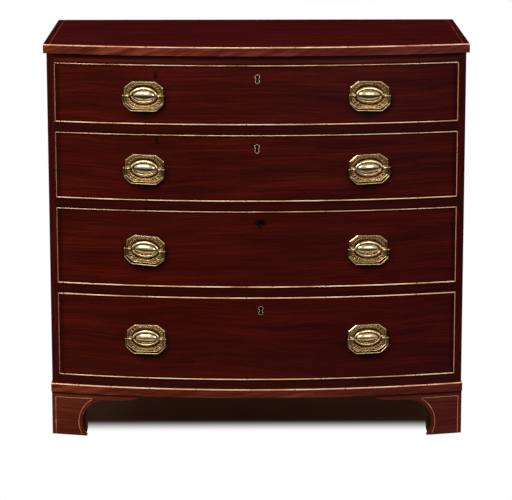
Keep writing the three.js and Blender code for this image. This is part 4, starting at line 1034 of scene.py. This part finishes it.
def plate_shell():
    """The plate as rings round its centre, each with its own rise: ovals of the dome, which rises
    as a power of the distance left to its edge, ovals of the boss's ring, which rises so to a
    crest, and then ovals that turn by degrees into the eight-sided outline. On these lie the rim,
    a beaded line, flutes round the boss and the pits in the corners, each a bump or a wave added.
    A point is in a hollow where it lies under its neighbours' mean, or low on the field; soil darkens the
    inner field, and a painted shade darkens the foot of the boss. Returns the points, the faces and how deep
    each point lies, that painted shade included."""
    edge = plate_edge()
    count = len(edge)
    dome, boss = np.array(DOME), np.array(BOSS)
    angle = np.arctan2(edge[:, 1] / boss[1], edge[:, 0] / boss[0])
    turn = np.stack([np.cos(angle), np.sin(angle)], 1)
    quarter = math.pi / 2

    r = np.sin(np.linspace(DOME_START, 1, DOME_STEPS) * quarter)[:, None]
    dome_rise = GROOVE_RISE + (DOME_RISE - GROOVE_RISE) * np.maximum(1 - r * r, 0) ** DOME_FULLNESS

    inner = CREST_SHARE - (CREST_SHARE - GROOVE_SHARE) * np.sin(np.linspace(1, 0, RING_STEPS[0]) * quarter)
    outer = CREST_SHARE + (1 - CREST_SHARE) * np.sin(np.linspace(0, 1, RING_STEPS[1])[1:] * quarter)
    s = np.concatenate([[GROOVE_SHARE / 2], inner, outer])[:, None]
    base = GROOVE_RISE * (1 - s) + FIELD_RISE * s
    reach = (s - CREST_SHARE) / np.where(s < CREST_SHARE, CREST_SHARE - GROOVE_SHARE, 1 - CREST_SHARE)
    ring_rise = base + (RING_RISE - base) * np.maximum(1 - reach ** 2, 0) ** RING_FULLNESS

    t = np.linspace(0, 1, FIELD_STEPS)[1:, None]
    field = turn * boss * (1 - t[:, :, None]) + edge * t[:, :, None]
    rise = FIELD_RISE + FIELD_CLIMB * t + np.interp(t, *np.array(RIM_PROFILE).T)
    beads = 1 - BEADED_LINE["depth"] + BEADED_LINE["depth"] * np.cos(BEADED_LINE["beads"] * angle)
    rise = rise + BEADED_LINE["rise"] * bump_at(t, BEADED_LINE["at"], BEADED_LINE["width"]) * beads
    along = np.clip((t - FLUTES["start"]) / (FLUTES["end"] - FLUTES["start"]), 0, 1)
    rise += FLUTES["rise"] * np.cos(FLUTES["count"] * angle) * np.sin(along * math.pi)
    for x, y, size in PITS:
        near = np.hypot(np.abs(field[:, :, 0]) - x, np.abs(field[:, :, 1]) - y)
        rise += PIT_LIP * bump_at(near, 0, size * PIT_LIP_SIZE) - PIT_DEPTH * bump_at(near, 0, size)
    rise = np.maximum(rise, PLATE_BACK + SHEET_METAL)

    rings = np.concatenate([turn * dome * r[:, :, None],
                            turn * (dome * (1 - s[:, :, None]) + boss * s[:, :, None]), field])
    rises = np.vstack([np.vstack([dome_rise, ring_rise]) * np.ones(count), rise])
    # Painted shade round the boss's foot, and soil on the inner field.
    field_shade_and_soil = BOSS_PAINTED_SHADE * bump_at(t, 0.0, FIELD_SHADE_WIDTH) + np.where(t < SOIL_END, FIELD_SOIL, 0.0)
    shade_and_soil = np.vstack([0 * r, BOSS_PAINTED_SHADE * bump_at(s, 1.0, RING_SHADE_WIDTH), field_shade_and_soil])
    padded = np.pad(rises, ((SUNK_REACH, SUNK_REACH), (0, 0)), mode="edge")
    around = np.mean([padded[k:k + len(rises)] for k in range(2 * SUNK_REACH + 1)], axis=0)
    sunk_and_shade = np.clip((around - rises) / SUNK_DEPTH, 0, 1)
    low = np.clip((FIELD_RISE + LOW_DEPTH - rises) / LOW_DEPTH, 0, 1)
    sunk_and_shade = np.clip(sunk_and_shade + LOW_SHARE * low + shade_and_soil, 0, 1)

    rings = np.concatenate([rings, [edge, edge * BACK_SHARE]])
    rises = np.vstack([rises, np.full((2, count), PLATE_BACK)])
    points, faces = tipped(np.dstack([rings, rises]), (0, 0, DOME_RISE), (0, 0, PLATE_BACK))
    return points, faces, np.concatenate([sunk_and_shade.ravel(), np.ones(2 * count), [0.0, 1.0]])


def lathe(profile, axis, centre, sides=24):
    """A solid turned from a profile of radius and distance along an axis: a circle of each
    radius at its distance, closed to a point at both ends."""
    profile = np.array(profile, float)
    turn = np.linspace(0, 2 * math.pi, sides, endpoint=False)
    radius, along = profile[1:-1, :1], profile[1:-1, 1:]
    rings = np.dstack([radius * np.cos(turn), radius * np.sin(turn), along * np.ones(sides)])
    points, faces = tipped(rings, (0, 0, profile[0, 1]), (0, 0, profile[-1, 1]))
    order = {"out": [0, 1, 2], "across": [2, 0, 1]}[axis]
    return points[:, order] + np.array(centre), faces


def nut_shell(x):
    """A square nut with its corners rounded and both faces chamfered: a circle's sine and cosine
    to a low power, at each level's share of the size."""
    t = np.linspace(0, 2 * math.pi, NUT_STEPS, endpoint=False) + math.pi / 4
    circle = np.stack([np.cos(t), np.sin(t)], 1)
    square = np.sign(circle) * np.abs(circle) ** NUT_CORNER
    square *= NUT / 2 / np.abs(square).max()
    levels = [at_height(square * share, -NUT_SEAT - depth) for share, depth in NUT_LEVELS]
    points, faces = stacked(np.stack(levels))
    return points + np.array([x, 0, 0]), faces


plate_points, plate_faces, plate_hollow_and_shade = plate_shell()
turn = np.linspace(0, math.pi, 13)
post_ball = np.stack([POST_BALL * np.sin(turn), PIVOT - POST_BALL * np.cos(turn)], 1)
post_ball = post_ball[(post_ball[:, 1] > PIVOT - POST_NECK)][:-1]
post_profile = [*POST_FOOT, *post_ball, (0, PIVOT + POST_BALL)]
handle_shells = [(plate_points, plate_faces)]
for x in (-POST_X, POST_X):
    handle_shells += [lathe(post_profile, "out", (x, 0, 0)), lathe(SHANK_PROFILE, "out", (x, 0, 0), 16),
                      nut_shell(x)]
handle_points, handle_faces = joined(handle_shells)
under_ball = POST_GRIME["top"] - handle_points[len(plate_points):, 2]
post_hollow = np.clip(under_ball / POST_GRIME["depth"], 0, 1) * POST_GRIME["share"]
# The plate's values carry the painted shade round its boss.
handle_hollow_and_shade = np.concatenate([plate_hollow_and_shade, post_hollow])


def seat(points, joint):
    """Puts a handle's points, given across, up and out from the drawer's face in millimetres, at
    its hinge: the hinge's axis is the handle's own line, and out is level and square to it."""
    across = -Vector(joint["axis"]).normalized()
    out = across.cross(Vector((0, 0, 1))).normalized()
    up = out.cross(across)
    origin = Vector(joint["pos_m"]) - out * PIVOT * MM
    return points * MM @ np.array([across, up, out]) + np.array(origin)


hinges = {joint["child"]: joint for joint in frame["joints"] if joint["type"] == "hinge"}
for drawer in drawers:
    for hand in ("left", "right"):
        name = f"{drawer['name']}_{hand}"
        shell = seat(handle_points, hinges[f"{name}_bail"]), handle_faces
        plate = make(f"{name}_handle_plate", shell, brass, drawer["name"], [f"{name}_plate"],
                     smooth=55)
        set_hollow(plate, handle_hollow_and_shade)


# Bails
# A cast brass bail hangs from the posts of each plate: a thin rod bent to the plate's own
# corners, thicker across its foot, with a pin through each post and a small knob outside.
BAIL = {"half": 50.5, "drop": 37.6, "shoulder": 20.0, "flat": 32.0, "radius": 2.0, "thin": 0.84, "swell": 0.2}
BAIL_EASE, BAIL_SIDES, BAIL_STRAIGHT, BAIL_BEND = 5.0, 20, 6, 9
KNOB_PROFILE = [(0, -3.4), (1.9, -3.4), (2.5, -2.6), (2.0, -1.9), (2.6, -1.2), (3.1, 0.0), (2.7, 1.3),
                (1.7, 2.3), (0, 2.6)]
PIN_PROFILE = [(0, -12.6), (1.45, -12.6), (1.45, -2.0), (0, -2.0)]
# Cast brass, browner than the pressed sheet, and dull from handling.
bail_brass = brass_material("aged_cast_brass", ("927650", "6a5232", "261806"))


def bail_shell():
    """A rod along the bail's line, each bend eased by a curve, round in section and thinner up
    the arms, with both ends capped inside the knobs."""
    half, drop, shoulder, flat = [BAIL[size] for size in ("half", "drop", "shoulder", "flat")]
    right = np.array([(flat, -drop), (half, -shoulder), (half, 0)])
    corners = np.vstack([right[::-1] * (-1, 1), right])
    line = [corners[:1]]
    for before, corner, after in zip(corners, corners[1:], corners[2:]):
        start = corner + (before - corner) / np.linalg.norm(before - corner) * BAIL_EASE
        end = corner + (after - corner) / np.linalg.norm(after - corner) * BAIL_EASE
        line.append(np.linspace(line[-1][-1], start, BAIL_STRAIGHT)[1:-1])
        line.append(bezier([start, corner, end], BAIL_BEND))
    line.append(np.linspace(line[-1][-1], corners[-1], BAIL_STRAIGHT)[1:])
    line = np.vstack(line)
    tangent = np.gradient(line, axis=0)
    tangent /= np.linalg.norm(tangent, axis=1)[:, None]
    side = np.stack([-tangent[:, 1], tangent[:, 0]], 1)
    radius = BAIL["radius"] * (BAIL["thin"] + BAIL["swell"] * np.clip(-line[:, 1:] / drop, 0, 1))
    turn = np.linspace(0, 2 * math.pi, BAIL_SIDES, endpoint=False)
    flat_part = line[:, None, :] + side[:, None, :] * (radius * np.cos(turn))[:, :, None]
    return stacked(np.dstack([flat_part, PIVOT + radius * np.sin(turn)]))


bail_shells = [bail_shell()]
for side in (-1, 1):
    for profile, sides in ((KNOB_PROFILE, 22), (PIN_PROFILE, 12)):
        mirrored = [(radius, side * along) for radius, along in profile]
        bail_shells.append(lathe(mirrored, "across", (side * BAIL["half"], 0, PIVOT), sides))
bail_points, bail_faces = joined(bail_shells)
for drawer in drawers:
    for hand in ("left", "right"):
        body = f"{drawer['name']}_{hand}_bail"
        shell = seat(bail_points, hinges[body]), bail_faces
        bail = make(f"{body}_rod", shell, bail_brass, body, [body], smooth=50)
        set_hollow(bail, np.zeros(len(bail_points)))

bpy.context.view_layer.update()
